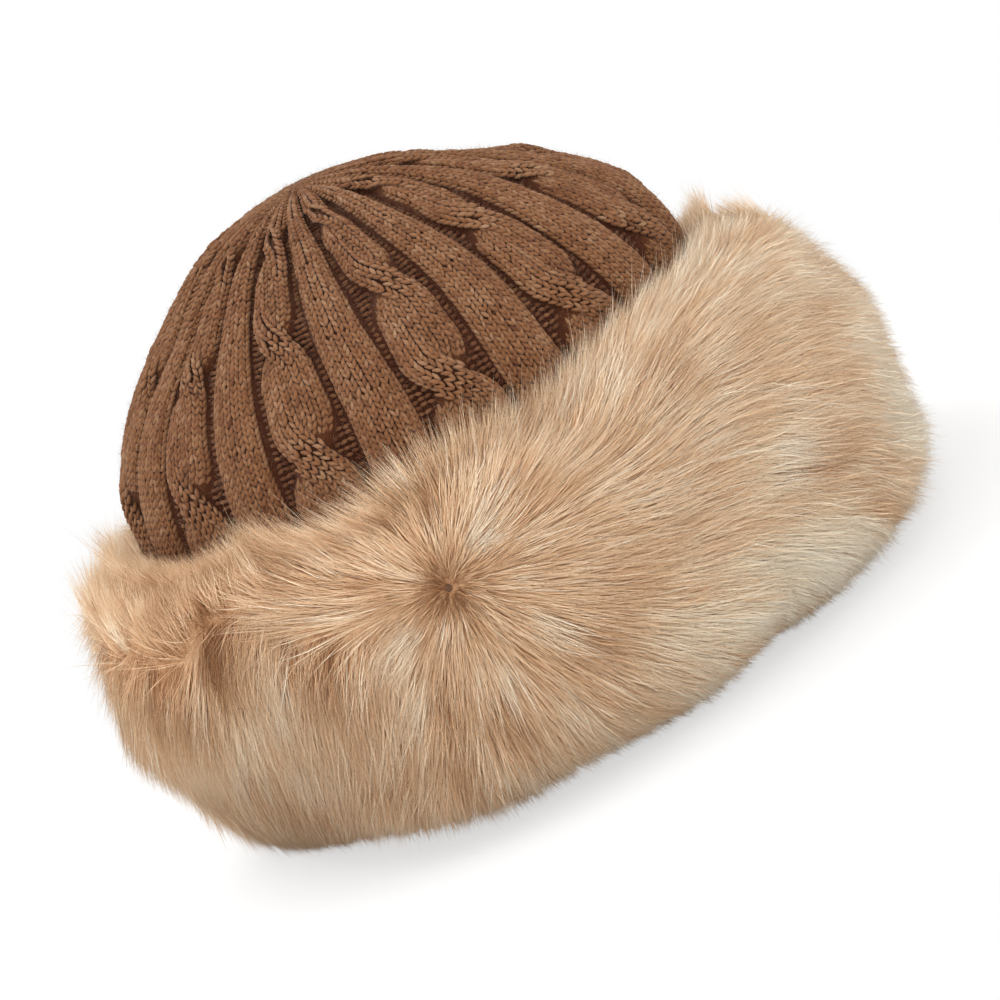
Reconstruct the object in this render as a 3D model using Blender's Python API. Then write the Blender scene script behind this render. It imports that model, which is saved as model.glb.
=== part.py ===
"""A knitted winter hat with a thick fur cuff, in metres, standing on the rim of its cuff with +Z up.

Every piece is a closed cross-section carried round the hat's upright axis. A cross-section is written as
offsets from the outside of the ribs, positive outwards, so that each layer keeps its distance from the next.
"""

import math

import bmesh
import bpy

# Room left between two pieces that touch
CLEARANCE = 0.0003

# Crown of cable knit
CROWN_RADIUS = 0.102
OVAL = 0.93
WALL_HEIGHT = 0.102
DOME_RISE = 0.087
DOME_POINTEDNESS = 1.11
KNIT_THICKNESS = 0.005
RIB_DEPTH = 0.0028
CABLE_REPEATS = 12
CABLE_CROSSINGS = 3
CABLE_SWELL = 0.3
HEM_HEIGHT = 0.006
GATHER_HOLE_RADIUS = 0.003
GATHER_YARN_RADIUS = 0.0008
SEAM_YARN_RADIUS = 0.0007

# Fleece lining
LINING_THICKNESS = 0.0022
LINING_GORES = 4
LINING_TOP_RADIUS = 0.0025
GORE_GAP = 0.0005
FLAT_SEAM_WIDTH = 0.005
FLAT_SEAM_THICKNESS = 0.0007
FLAT_SEAM_TOP_RADIUS = 0.008

# Fur cuff
CUFF_HEIGHT = 0.108
PILE_PROUD = 0.041
PILE_LUMP = 0.0014
LUMPS_ROUND = 6
FACING_THICKNESS = 0.001
FACING_SET_DOWN = 0.010
WADDING_THICKNESS = 0.012
WADDING_INSET = 0.010
THREAD_RADIUS = 0.00035
STITCHES_ROUND = 60
TOP_STITCH_REACH = 0.0010
RIM_STITCH_REACH = 0.0024
DIMPLE_DEPTH = 0.015
DIMPLE_RADIUS = 0.015
TACK_LOOP_RADIUS = 0.0013
TACK_THREAD_RADIUS = 0.0005

# Outside of the pile from the top lip to the rim, as shares of how proud and how high the cuff is
PILE_PROFILE = (
    (0.05, 0.965),
    (0.18, 0.992),
    (0.38, 1.0),
    (0.60, 0.985),
    (0.80, 0.93),
    (0.925, 0.83),
    (0.98, 0.736),
    (1.0, 0.56),
    (0.99, 0.36),
    (0.93, 0.17),
    (0.82, 0.07),
    (0.66, 0.012),
    (0.58, 0.0),
)
TACK_POINT = 6
LIP_SHARE = 0.935

# Back of the wadding is flat; this is its rounded front, as shares of thickness and height
WADDING_PROFILE = ((0.0, 0.0), (0.55, 0.06), (0.9, 0.22), (1.0, 0.5), (0.9, 0.78), (0.55, 0.94), (0.0, 1.0))

# Relief across one repeat of the knit, as shares of the rib depth: a groove, a cable, a groove, a rib
CABLE_RELIEF = (0.0, 0.75, 1.0, 0.75)
RIB_RELIEF = (0.0, 0.8, 1.0, 0.8)
# How far each of those points of the repeat sways to the side, as shares of one step round the crown
SWAY = (0.0, 0.2, 0.7, 0.2, 0.0, 0.0, 0.0, 0.0)

# Steps of the meshes
OUTER_DOME_STEPS = 12
INNER_DOME_STEPS = 8
STRIP_STEPS = 27
GORE_STEPS = 10
TACK_STEP = 12
RING_SIDES = 6
TACK_RING_STEPS = 10
FADE_RADIUS = 0.03

# Colours as linear RGB
KNIT_BROWN = (0.223, 0.107, 0.054)
YARN_DARK = (0.12, 0.052, 0.028)
FUR_CREAM = (0.552, 0.371, 0.227)
FLEECE_TAN = (0.30, 0.20, 0.125)
CLOTH_BEIGE = (0.42, 0.31, 0.21)
WADDING_WHITE = (0.80, 0.78, 0.74)
THREAD_BROWN = (0.20, 0.115, 0.065)

FULL_TURN = 2 * math.pi
QUARTER_TURN = math.pi / 2
BACK = QUARTER_TURN
RIGHT = 0.0
LEFT = math.pi

# Offsets of the layers that the crown's own thickness fixes
LINING_OUTSIDE = -KNIT_THICKNESS - CLEARANCE
LINING_INSIDE = LINING_OUTSIDE - LINING_THICKNESS
FACING_OUTSIDE = CLEARANCE + FACING_THICKNESS
PILE_BACK = FACING_OUTSIDE + CLEARANCE
FACING_TOP = CUFF_HEIGHT - FACING_SET_DOWN
WADDING_BASE = HEM_HEIGHT + WADDING_INSET
WADDING_TOP = FACING_TOP - WADDING_INSET
STRIP_GAP = 2 * (THREAD_RADIUS + CLEARANCE)


def clear_scene():
    for obj in list(bpy.data.objects):
        bpy.data.objects.remove(obj, do_unlink=True)


def material(name, colour, roughness):
    made = bpy.data.materials.new(name)
    made.use_nodes = True
    shader = made.node_tree.nodes["Principled BSDF"]
    shader.inputs["Base Color"].default_value = (*colour, 1.0)
    shader.inputs["Roughness"].default_value = roughness
    shader.inputs["Metallic"].default_value = 0.0
    return made


def place(name, data, colour, roughness):
    """Adds a piece, whose own origin is the hat's: the axis of the crown at the level of the rim."""
    data.materials.append(material(name, colour, roughness))
    obj = bpy.data.objects.new(name, data)
    obj.location = (0.0, 0.0, 0.0)
    bpy.context.scene.collection.objects.link(obj)
    return obj


def on_plan(radius, angle, height):
    """A point of the oval plan."""
    return (radius * math.cos(angle), radius * OVAL * math.sin(angle), height)


def dome(offset, tilt):
    """Radius and height on the crown at this offset, from the top of the wall (0) to the apex (a quarter turn)."""
    radius = (CROWN_RADIUS + offset) * math.cos(tilt)
    height = WALL_HEIGHT + (DOME_RISE + offset) * math.sin(tilt) ** DOME_POINTEDNESS
    return radius, height


def dome_tilts(offset, end_radius, steps):
    """Even steps of tilt up the dome, ending where the crown is down to the end radius."""
    end = math.acos(end_radius / (CROWN_RADIUS + offset))
    tilts = [step * QUARTER_TURN / steps for step in range(steps)]
    return [*tilts, end]


def swept(name, sections, closed, colour, roughness):
    """Joins a row of closed cross-sections into one solid, all the way round or with an end at each side."""
    bm = bmesh.new()
    loops = [[bm.verts.new(point) for point in section] for section in sections]
    following = loops[1:] + loops[:1] if closed else loops[1:]
    for here, there in zip(loops, following):
        for index, corner in enumerate(here):
            after = (index + 1) % len(here)
            bm.faces.new((corner, there[index], there[after], here[after]))
    if not closed:
        bm.faces.new(loops[0])
        bm.faces.new(loops[-1])
    bmesh.ops.recalc_face_normals(bm, faces=bm.faces)
    mesh = bpy.data.meshes.new(name)
    bm.to_mesh(mesh)
    bm.free()
    return place(name, mesh, colour, roughness)


def thread(name, points, radius, cyclic, colour):
    """A length of yarn or thread along these points."""
    curve = bpy.data.curves.new(name, "CURVE")
    curve.dimensions = "3D"
    curve.bevel_depth = radius
    curve.bevel_resolution = 0
    curve.use_fill_caps = not cyclic
    spline = curve.splines.new("POLY")
    spline.points.add(len(points) - 1)
    for slot, point in zip(spline.points, points):
        slot.co = (*point, 1.0)
    spline.use_cyclic_u = cyclic
    return place(name, curve, colour, 0.9)


def ring_angles(steps):
    return [step * FULL_TURN / steps for step in range(steps)]


def relief(step, tilt):
    """Depth of the outside below the top of the ribs, for one step round the crown."""
    pattern = CABLE_RELIEF + RIB_RELIEF
    place_in_repeat = step % len(pattern)
    share = pattern[place_in_repeat]
    if place_in_repeat < len(CABLE_RELIEF):
        wave = math.cos(FULL_TURN * CABLE_CROSSINGS * tilt / QUARTER_TURN)
        share *= 1.0 - CABLE_SWELL * (1.0 + wave) / 2
    fade = min(1.0, CROWN_RADIUS * math.cos(tilt) / FADE_RADIUS)
    return RIB_DEPTH * (1.0 - share) * fade


def sway(step, tilt, pitch):
    """How far a cable's ridge has turned to one side, as an angle round the crown."""
    wave = math.sin(FULL_TURN * CABLE_CROSSINGS * tilt / QUARTER_TURN)
    return SWAY[step % len(SWAY)] * pitch * wave


def crown_section(step, pitch):
    """The knit's cross-section: up the outside over ribs and grooves, then down the inside."""
    angle = step * pitch
    points = [on_plan(CROWN_RADIUS - relief(step, 0.0), angle, HEM_HEIGHT)]
    for tilt in dome_tilts(0.0, GATHER_HOLE_RADIUS, OUTER_DOME_STEPS)[:-1]:
        radius, height = dome(-relief(step, tilt), tilt)
        points.append(on_plan(radius, angle + sway(step, tilt, pitch), height))
    for offset in (0.0, -KNIT_THICKNESS):
        height = WALL_HEIGHT + DOME_RISE + offset
        points.append(on_plan(GATHER_HOLE_RADIUS, angle, height))
    inside = dome_tilts(-KNIT_THICKNESS, GATHER_HOLE_RADIUS, INNER_DOME_STEPS)[:-1]
    for tilt in reversed(inside):
        radius, height = dome(-KNIT_THICKNESS, tilt)
        points.append(on_plan(radius, angle, height))
    points.append(on_plan(CROWN_RADIUS - KNIT_THICKNESS, angle, HEM_HEIGHT))
    return points


def build_crown():
    steps = CABLE_REPEATS * len(CABLE_RELIEF + RIB_RELIEF)
    sections = [crown_section(step, FULL_TURN / steps) for step in range(steps)]
    swept("knit_crown", sections, True, KNIT_BROWN, 0.9)

    centre = GATHER_HOLE_RADIUS - CLEARANCE - GATHER_YARN_RADIUS
    height = WALL_HEIGHT + DOME_RISE - KNIT_THICKNESS / 2
    rings = []
    for angle in ring_angles(2 * RING_SIDES):
        ring = []
        for around in ring_angles(RING_SIDES):
            radius = centre + GATHER_YARN_RADIUS * math.cos(around)
            lift = GATHER_YARN_RADIUS * math.sin(around)
            ring.append((radius * math.cos(angle), radius * OVAL * math.sin(angle), height + lift))
        rings.append(ring)
    swept("crown_gather_yarn", rings, True, YARN_DARK, 0.9)

    # The seam yarn lies in the groove that faces the back
    lie = CLEARANCE + SEAM_YARN_RADIUS - RIB_DEPTH
    points = [on_plan(CROWN_RADIUS + lie, BACK, CUFF_HEIGHT)]
    for tilt in dome_tilts(0.0, FADE_RADIUS, OUTER_DOME_STEPS)[1:]:
        if CROWN_RADIUS * math.cos(tilt) >= FADE_RADIUS - CLEARANCE:
            radius, height = dome(lie, tilt)
            points.append(on_plan(radius, BACK, height))
    thread("crown_back_seam", points, SEAM_YARN_RADIUS, False, YARN_DARK)


def gap_angle(half_gap, radius):
    return math.asin(min(1.0, half_gap / (radius * OVAL)))


def build_lining():
    outside = dome_tilts(LINING_OUTSIDE, LINING_TOP_RADIUS, INNER_DOME_STEPS)
    inside = dome_tilts(LINING_INSIDE, LINING_TOP_RADIUS, INNER_DOME_STEPS)
    points = [(CROWN_RADIUS + LINING_OUTSIDE, HEM_HEIGHT)]
    points += [dome(LINING_OUTSIDE, tilt) for tilt in outside]
    points += [dome(LINING_INSIDE, tilt) for tilt in reversed(inside)]
    points.append((CROWN_RADIUS + LINING_INSIDE, HEM_HEIGHT))
    span = FULL_TURN / LINING_GORES
    for gore in range(LINING_GORES):
        sections = []
        for step in range(GORE_STEPS + 1):
            section = []
            for radius, height in points:
                room = gap_angle(GORE_GAP / 2, radius)
                angle = gore * span + room + (span - 2 * room) * step / GORE_STEPS
                section.append(on_plan(radius, angle, height))
            sections.append(section)
        swept(f"lining_gore_{gore + 1}", sections, False, FLEECE_TAN, 0.95)

    # Flat seams on the inside of the joins between gores
    upper = LINING_INSIDE - CLEARANCE
    lower = upper - FLAT_SEAM_THICKNESS
    start = HEM_HEIGHT + 2 * RIM_STITCH_REACH
    for gore in range(LINING_GORES):
        sections = []
        tilts = dome_tilts(upper, FLAT_SEAM_TOP_RADIUS, INNER_DOME_STEPS)
        tilts = [tilt for tilt in tilts if tilt <= tilts[-1]]
        for row in range(len(tilts) + 1):
            section = []
            for offset, side in ((upper, -1), (upper, 1), (lower, 1), (lower, -1)):
                radius, height = dome(offset, tilts[row - 1]) if row else (CROWN_RADIUS + offset, start)
                angle = gore * span + side * gap_angle(FLAT_SEAM_WIDTH / 2, radius)
                section.append(on_plan(radius, angle, height))
            sections.append(section)
        swept(f"lining_seam_{gore + 1}", sections, False, THREAD_BROWN, 0.9)


def dimple(angle, tack, radius, height):
    """How far a tack draws the pile in at a point of its outside."""
    across = radius * math.sin(abs(angle - tack) / 2) * 2
    up = height - CUFF_HEIGHT * PILE_PROFILE[TACK_POINT][1]
    return DIMPLE_DEPTH * math.exp(-(across**2 + up**2) / DIMPLE_RADIUS**2)


def wadding_front(share, up):
    """Offset and height of a point on the front of the wadding."""
    return PILE_BACK + WADDING_THICKNESS * share, WADDING_BASE + (WADDING_TOP - WADDING_BASE) * up


def pile_outside(angle, tack):
    """The outside of the pile from lip to rim, lumpy, and drawn in at the tack."""
    points = []
    for share, up in PILE_PROFILE:
        offset = PILE_BACK + (PILE_PROUD - PILE_BACK) * share
        height = CUFF_HEIGHT * up
        lump = PILE_LUMP * math.sin(LUMPS_ROUND * angle) * math.sin(math.pi * up)
        pull = dimple(angle, tack, CROWN_RADIUS + offset, height) * math.sin(math.pi * up)
        points.append((offset + lump - pull, height))
    return points


def fur_section(angle, tack):
    """The strip's cross-section: over the pile, under the hem, and back up behind the wadding's front."""
    shelf = HEM_HEIGHT - CLEARANCE
    points = [(PILE_BACK, CUFF_HEIGHT * LIP_SHARE)]
    points += pile_outside(angle, tack)
    points += [(LINING_INSIDE, 0.0), (LINING_INSIDE, shelf), (PILE_BACK, shelf)]
    points.append((PILE_BACK, WADDING_BASE - CLEARANCE))
    for share, up in WADDING_PROFILE[1:-1]:
        offset, height = wadding_front(share, up)
        points.append((offset + CLEARANCE, height + CLEARANCE * (2 * up - 1)))
    points.append((PILE_BACK, WADDING_TOP + CLEARANCE))
    return points


def build_strip(name, start):
    """One fur strip, from a side join round to the other, and its tack."""
    tack = start + math.pi * TACK_STEP / STRIP_STEPS
    sections = []
    for step in range(STRIP_STEPS + 1):
        section = []
        even = start + math.pi * step / STRIP_STEPS
        for offset, height in fur_section(even, tack):
            radius = CROWN_RADIUS + offset
            room = gap_angle(STRIP_GAP / 2, radius)
            angle = start + room + (math.pi - 2 * room) * step / STRIP_STEPS
            section.append(on_plan(radius, angle, height))
        sections.append(section)
    swept(f"cuff_fur_{name}", sections, False, FUR_CREAM, 0.85)

    # The loop lies over the bottom of its dimple, clear of the slopes round it
    offset, height = pile_outside(tack, tack)[TACK_POINT]
    slope = DIMPLE_DEPTH / DIMPLE_RADIUS
    reach = TACK_LOOP_RADIUS + TACK_THREAD_RADIUS
    lie = CROWN_RADIUS + offset + CLEARANCE + TACK_THREAD_RADIUS + reach * slope
    rings = []
    for angle in ring_angles(TACK_RING_STEPS):
        ring = []
        for around in ring_angles(RING_SIDES):
            reach = TACK_LOOP_RADIUS + TACK_THREAD_RADIUS * math.cos(around)
            turn = tack + reach * math.cos(angle) / lie
            rise = TACK_THREAD_RADIUS * math.sin(around)
            ring.append(on_plan(lie + rise, turn, height + reach * math.sin(angle)))
        rings.append(ring)
    swept(f"cuff_tack_{name}", rings, True, THREAD_BROWN, 0.9)


def build_cuff():
    build_strip("front", LEFT)
    build_strip("back", RIGHT)
    angles = ring_angles(2 * STRIP_STEPS)

    section = [wadding_front(share, up) for share, up in WADDING_PROFILE]
    rings = [[on_plan(CROWN_RADIUS + offset, angle, height) for offset, height in section] for angle in angles]
    swept("cuff_wadding", rings, True, WADDING_WHITE, 0.95)

    section = (
        (CLEARANCE, HEM_HEIGHT),
        (FACING_OUTSIDE, HEM_HEIGHT),
        (FACING_OUTSIDE, FACING_TOP),
        (CLEARANCE, FACING_TOP),
    )
    rings = [[on_plan(CROWN_RADIUS + offset, angle, height) for offset, height in section] for angle in angles]
    swept("cuff_facing", rings, True, CLOTH_BEIGE, 0.9)

    # Zigzag rings of thread: one above the facing, one over the join of rim and lining
    top_lie = CROWN_RADIUS + PILE_BACK / 2
    top_height = FACING_TOP + CLEARANCE + THREAD_RADIUS + TOP_STITCH_REACH
    rim_lie = CROWN_RADIUS + LINING_INSIDE - CLEARANCE - THREAD_RADIUS
    for name, lie, middle, reach in (
        ("cuff_top_stitching", top_lie, top_height, TOP_STITCH_REACH),
        ("cuff_rim_stitching", rim_lie, HEM_HEIGHT, RIM_STITCH_REACH),
    ):
        points = []
        for turn, angle in enumerate(ring_angles(2 * STITCHES_ROUND)):
            points.append(on_plan(lie, angle, middle + reach * (1 - 2 * (turn % 2))))
        thread(name, points, THREAD_RADIUS, True, THREAD_BROWN)

    # The side joins are sewn just in front of the wadding
    sewn = THREAD_RADIUS + 2 * CLEARANCE
    for name, angle in (("right", RIGHT), ("left", LEFT)):
        points = [on_plan(CROWN_RADIUS + PILE_BACK + sewn, angle, CUFF_HEIGHT * LIP_SHARE)]
        for share, up in reversed(WADDING_PROFILE):
            offset, height = wadding_front(share, up)
            points.append(on_plan(CROWN_RADIUS + offset + sewn, angle, height))
        points.append(on_plan(CROWN_RADIUS + PILE_BACK + sewn, angle, HEM_HEIGHT))
        thread(f"cuff_seam_{name}", points, THREAD_RADIUS, False, THREAD_BROWN)


def main():
    clear_scene()
    build_crown()
    build_lining()
    build_cuff()


main()
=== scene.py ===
"""The looks of a knitted winter hat with a fur cuff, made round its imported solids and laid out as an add-on.

Lengths are in metres. The hat stands on the rim of its cuff with +Z up, and its front faces -Y. A turn is an
angle round the upright axis, and a rise is a height over the outside of the crown's ribs.
"""

import math

import bpy
import numpy as np
from mathutils import Matrix, Vector, noise


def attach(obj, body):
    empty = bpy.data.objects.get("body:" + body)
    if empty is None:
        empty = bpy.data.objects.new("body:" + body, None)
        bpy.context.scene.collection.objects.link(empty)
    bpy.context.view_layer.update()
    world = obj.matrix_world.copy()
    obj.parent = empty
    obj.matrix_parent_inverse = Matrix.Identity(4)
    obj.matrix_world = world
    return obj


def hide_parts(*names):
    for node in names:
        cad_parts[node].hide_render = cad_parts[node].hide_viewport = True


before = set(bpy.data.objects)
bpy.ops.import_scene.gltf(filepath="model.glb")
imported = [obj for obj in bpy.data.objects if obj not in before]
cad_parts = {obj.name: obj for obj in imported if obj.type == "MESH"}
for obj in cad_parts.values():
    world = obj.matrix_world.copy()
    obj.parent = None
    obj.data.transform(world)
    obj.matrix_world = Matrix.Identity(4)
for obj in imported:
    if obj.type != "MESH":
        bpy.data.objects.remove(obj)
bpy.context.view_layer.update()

bl_info = {
    "name": "Fur-cuffed knitted hat",
    "version": (1, 0, 0),
    "blender": (4, 5, 0),
    "location": "3D View > Sidebar > Hat",
    "description": "Dresses the solids of a knitted hat with stitches, fleece and fur",
    "category": "Object",
}

FULL_TURN = 2 * math.pi
FRONT = 1.5 * math.pi
BACK = 0.5 * math.pi
BODY = "root"
# What a strand or stitch keeps once it is a plain mesh
KEPT_ATTRIBUTES = (
    "position", ".edge_verts", ".corner_vert", ".corner_edge", "sharp_face", "material_index",
    "tone", "along", "OFBake",
)


def amount(name, description, default, **more):
    return bpy.props.FloatProperty(name=name, description=description, default=default, **more)


def length(name, description, default):
    return amount(name, description, default, unit="LENGTH", precision=5)


def share(name, description, default):
    return amount(name, description, default, precision=3)


def angle(name, description, default):
    return amount(name, description, math.radians(default), subtype="ANGLE")


def count(name, description, default):
    return bpy.props.IntProperty(name=name, description=description, default=default, min=1)


def colour(name, description, default):
    return bpy.props.FloatVectorProperty(
        name=name, description=description, default=default, subtype="COLOR", size=3, min=0.0, max=1.0
    )


class HatCrown(bpy.types.PropertyGroup):
    """Sizes of the knitted crown."""

    radius: length("Radius", "Outside of the ribs across the hat", 0.102)
    oval: share("Oval", "Depth of the hat as a share of its width", 0.93)
    wall_height: length("Wall height", "Where the upright wall turns into the dome", 0.102)
    dome_rise: length("Dome rise", "Height of the dome over the wall", 0.087)
    pointedness: share("Pointedness", "Above 1 draws the dome to a point", 1.11)
    hem_height: length("Hem height", "Lower edge of the knit", 0.006)
    thickness: length("Thickness", "Thickness of the knit at a rib", 0.005)
    hole_radius: length("Hole radius", "Gathered hole at the apex", 0.003)
    groove_depth: length("Groove depth", "How far the purl ground lies below the ribs", 0.0037)
    swell: length("Swell", "How far ribs and cables stand out from the crown", 0.0006)
    repeats: count("Repeats", "Ribs round the crown, with a cable beside each", 12)
    cable_turn: angle("Cable turn", "Middle of the first cable, right of the front", 7.5)
    rib_share: share("Rib share", "Width of a rib in its repeat", 0.452)
    cable_share: share("Cable share", "Width of a cable in its repeat", 0.520)
    wale: length("Wale", "Width of one column of stitches", 0.0029)
    row: length("Row", "Height of one row of stitches", 0.0022)
    yarn: length("Yarn", "Thickness of the yarn", 0.00156)
    first_crossing: length("First crossing", "From the apex to the first crossing of a cable", 0.039)
    crossing_gap: length("Crossing gap", "From one crossing of a cable to the next", 0.041)
    crossing_length: length("Crossing length", "Length over which two strands change sides", 0.025)
    stitched_length: length("Stitched length", "From the apex down to the last row that can be seen", 0.162)
    full_radius: length("Full radius", "Radius from which stitches have their full width", 0.028)
    fuzz: amount("Fuzz", "Loose fibres on a square metre of knit", 640000.0)
    gather_yarn: length("Gather yarn", "Half the thickness of the yarn that closes the apex", 0.0008)
    seam_yarn: length("Seam yarn", "Half the thickness of the yarn in the back seam", 0.0007)


class HatLining(bpy.types.PropertyGroup):
    """Sizes of the fleece lining."""

    outside: length("Outside", "Rise of the outside of the fleece", -0.0054)
    thickness: length("Thickness", "Thickness of the fleece backing", 0.0017)
    gores: count("Gores", "Panels of fleece round the hat", 4)
    top_radius: length("Top radius", "Where the points of the gores end", 0.0025)
    gore_gap: length("Gore gap", "Room between two gores", 0.0006)
    nub: length("Nub", "Height of the fleece's lumps", 0.00035)
    seam_width: length("Seam width", "Width of the flat seams", 0.0046)
    seam_stitch: length("Seam stitch", "Length of one zigzag of a flat seam", 0.0042)
    seam_top: length("Seam top", "Radius where the flat seams end", 0.008)
    thread: length("Thread", "Half the thickness of the sewing thread", 0.00030)


class HatCuff(bpy.types.PropertyGroup):
    """Sizes of the fur cuff."""

    height: length("Height", "Top of the fur over the rim", 0.108)
    dimple_depth: length("Dimple depth", "How far a tack draws the fur in", 0.008)
    dimple_radius: length("Dimple radius", "How wide the dimple of a tack is", 0.015)
    tack_height: length("Tack height", "Height of the tacks over the rim", 0.0795)
    tack_turn: angle("Tack turn", "From the start of a strip to its tack", 80.0)
    whorl_right: length("Whorl right", "From a tack to the middle of the fur's whorl, to the right", 0.0024)
    whorl_up: length("Whorl up", "From a tack up to the middle of the fur's whorl", -0.0006)
    lump: length("Lump", "Unevenness of the hide", 0.0014)
    hair: length("Hair", "Length of the longest hair", 0.027)
    hair_width: length("Hair width", "Half the thickness of a guard hair", 0.00015)
    down_width: length("Down width", "Half the thickness of a strand of under-fur", 0.00030)
    wisp_width: length("Wisp width", "Half the thickness of a loose wisp", 0.00008)
    lock: length("Lock", "Distance between two locks of fur", 0.0056)
    hairs: amount("Guard hairs", "Guard hairs on a square metre", 200000.0)
    down: amount("Under-fur", "Strands of under-fur on a square metre", 1050000.0)
    wisps: amount("Wisps", "Loose wisps on a square metre", 40000.0)
    comb_tilt: angle("Comb tilt", "How far the fur's stroke is turned from the level", 32.0)
    stitches: count("Stitches", "Zigzags in a ring of sewing", 60)


class HatColours(bpy.types.PropertyGroup):
    """Colours of the hat as linear values."""

    knit_dark: colour("Knit dark", "Yarn in shade", (0.072, 0.020, 0.008))
    knit_brown: colour("Knit brown", "Most of the yarn", (0.208, 0.091, 0.039))
    knit_light: colour("Knit light", "Fibres that catch the light", (0.325, 0.192, 0.108))
    # Painted shade: the purl ground darkens from the rib colour to this deep in the grooves
    groove_shade_brown: colour("Ground brown", "Purl ground between the ribs", (0.060, 0.017, 0.007))
    rib_brown: colour("Rib brown", "Fabric behind the stitches of the ribs", (0.100, 0.034, 0.013))
    seam_brown: colour("Seam brown", "Yarn of the seam and the gather", (0.150, 0.068, 0.036))
    fur_root: colour("Fur root", "Deepest fur", (0.340, 0.165, 0.075))
    fur_tan: colour("Fur tan", "Darker locks", (0.660, 0.400, 0.220))
    fur_beige: colour("Fur beige", "Most of the fur", (0.850, 0.582, 0.362))
    fur_cream: colour("Fur cream", "Paler locks", (0.945, 0.760, 0.545))
    fur_white: colour("Fur white", "Palest tips", (0.990, 0.900, 0.740))
    fleece: colour("Fleece", "Lining", (0.330, 0.215, 0.135))
    thread: colour("Thread", "Sewing thread", (0.200, 0.115, 0.065))
    tack: colour("Tack", "Thread of the tacks", (0.130, 0.066, 0.034))
    cloth: colour("Cloth", "Facing behind the fur", (0.420, 0.310, 0.210))
    wadding: colour("Wadding", "Filling of the cuff", (0.800, 0.780, 0.740))


class HatStage(bpy.types.PropertyGroup):
    """Camera, lamps and floor."""

    distance: length("Distance", "From the hat to the camera", 1.15)
    aim_height: length("Aim height", "Point of the axis that the picture is placed by", 0.095)
    elevation: angle("Elevation", "How far the camera looks down", 14.5)
    roll: angle("Roll", "How far the hat leans to the left in the picture", 30.5)
    lens: amount("Lens", "Focal length in millimetres", 125.0)
    right: length("Right", "Camera's move to the right in the picture", 0.0211)
    down: length("Down", "Camera's move down in the picture", 0.0225)
    key: amount("Key", "Lamp above the camera and to its right, in watts", 1.8)
    fill: amount("Fill", "Low lamp below the camera, in watts", 8.8)
    crest: amount("Crest", "Lamp above the hat and to the left, in watts", 8.2)
    kick: amount("Kick", "Lamp to the right of the hat, in watts", 3.6)
    sky: amount("Sky", "Even light from all round", 1.05)
    lamp_distance: length("Lamp distance", "From the hat to each lamp", 1.2)
    floor_radius: length("Floor radius", "Distance from the axis to the floor's edge", 3.0)
    white_from: length("White from", "Distance from the axis where the floor starts to fade", 0.17)
    white_at: length("White at", "Distance from the axis where the floor is white", 0.34)
    whiteness: share("Whiteness", "How white the floor is under the hat", 0.6)


SETTINGS = {
    "hat_crown": HatCrown,
    "hat_lining": HatLining,
    "hat_cuff": HatCuff,
    "hat_colours": HatColours,
    "hat_stage": HatStage,
}


class Wire:
    """A socket of a node tree. Arithmetic on it adds Math nodes, or Vector Math nodes for vectors."""

    def __init__(self, tree, socket):
        self.tree = tree
        self.socket = socket

    @classmethod
    def node(cls, tree, kind, settings=None, sockets=None, output=0):
        """Adds a node: first its settings, then the values or links of its sockets. Gives one output."""
        made = tree.nodes.new(kind)
        for name, value in (settings or {}).items():
            if name == "stops":
                cls.set_stops(made.color_ramp, value)
            else:
                setattr(made, name, value)
        for key, value in (sockets or {}).items():
            socket = cls.pick(made.inputs, key)
            if isinstance(value, Wire):
                tree.links.new(value.socket, socket)
            else:
                socket.default_value = value
        return cls(tree, cls.pick(made.outputs, output)) if len(made.outputs) else made

    @staticmethod
    def pick(sockets, key):
        if isinstance(key, int):
            return [socket for socket in sockets if socket.enabled][key]
        return next(socket for socket in sockets if socket.enabled and socket.name == key)

    @staticmethod
    def set_stops(ramp, stops):
        while len(ramp.elements) < len(stops):
            ramp.elements.new(1.0)
        for element, (place, shade) in zip(ramp.elements, stops):
            element.position = place
            element.color = (*shade, 1.0)

    def is_vector(self):
        return self.socket.type in ("VECTOR", "RGBA")

    def maths(self, operation, *others):
        sockets = dict(enumerate((self, *others)))
        return Wire.node(self.tree, "ShaderNodeMath", {"operation": operation}, sockets)

    def vector_maths(self, operation, other=None):
        sockets = {0: self} if other is None else {0: self, 1: other}
        return Wire.node(self.tree, "ShaderNodeVectorMath", {"operation": operation}, sockets)

    def scaled(self, factor):
        sockets = {"Vector": self, "Scale": factor}
        return Wire.node(self.tree, "ShaderNodeVectorMath", {"operation": "SCALE"}, sockets)

    def joined(self, operation, other, swapped=False):
        other_is_vector = isinstance(other, Wire) and other.is_vector()
        if operation == "MULTIPLY" and self.is_vector() != other_is_vector:
            return self.scaled(other) if self.is_vector() else other.scaled(self)
        first, second = (other, self) if swapped else (self, other)
        kind = "ShaderNodeVectorMath" if self.is_vector() else "ShaderNodeMath"
        return Wire.node(self.tree, kind, {"operation": operation}, {0: first, 1: second})

    def __add__(self, other):
        return self.joined("ADD", other)

    def __radd__(self, other):
        return self.joined("ADD", other, True)

    def __sub__(self, other):
        return self.joined("SUBTRACT", other)

    def __rsub__(self, other):
        return self.joined("SUBTRACT", other, True)

    def __mul__(self, other):
        return self.joined("MULTIPLY", other)

    def __rmul__(self, other):
        return self.joined("MULTIPLY", other, True)

    def __truediv__(self, other):
        return self.joined("DIVIDE", other)

    def __pow__(self, other):
        return self.joined("POWER", other)


# Meshes and pieces


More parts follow.
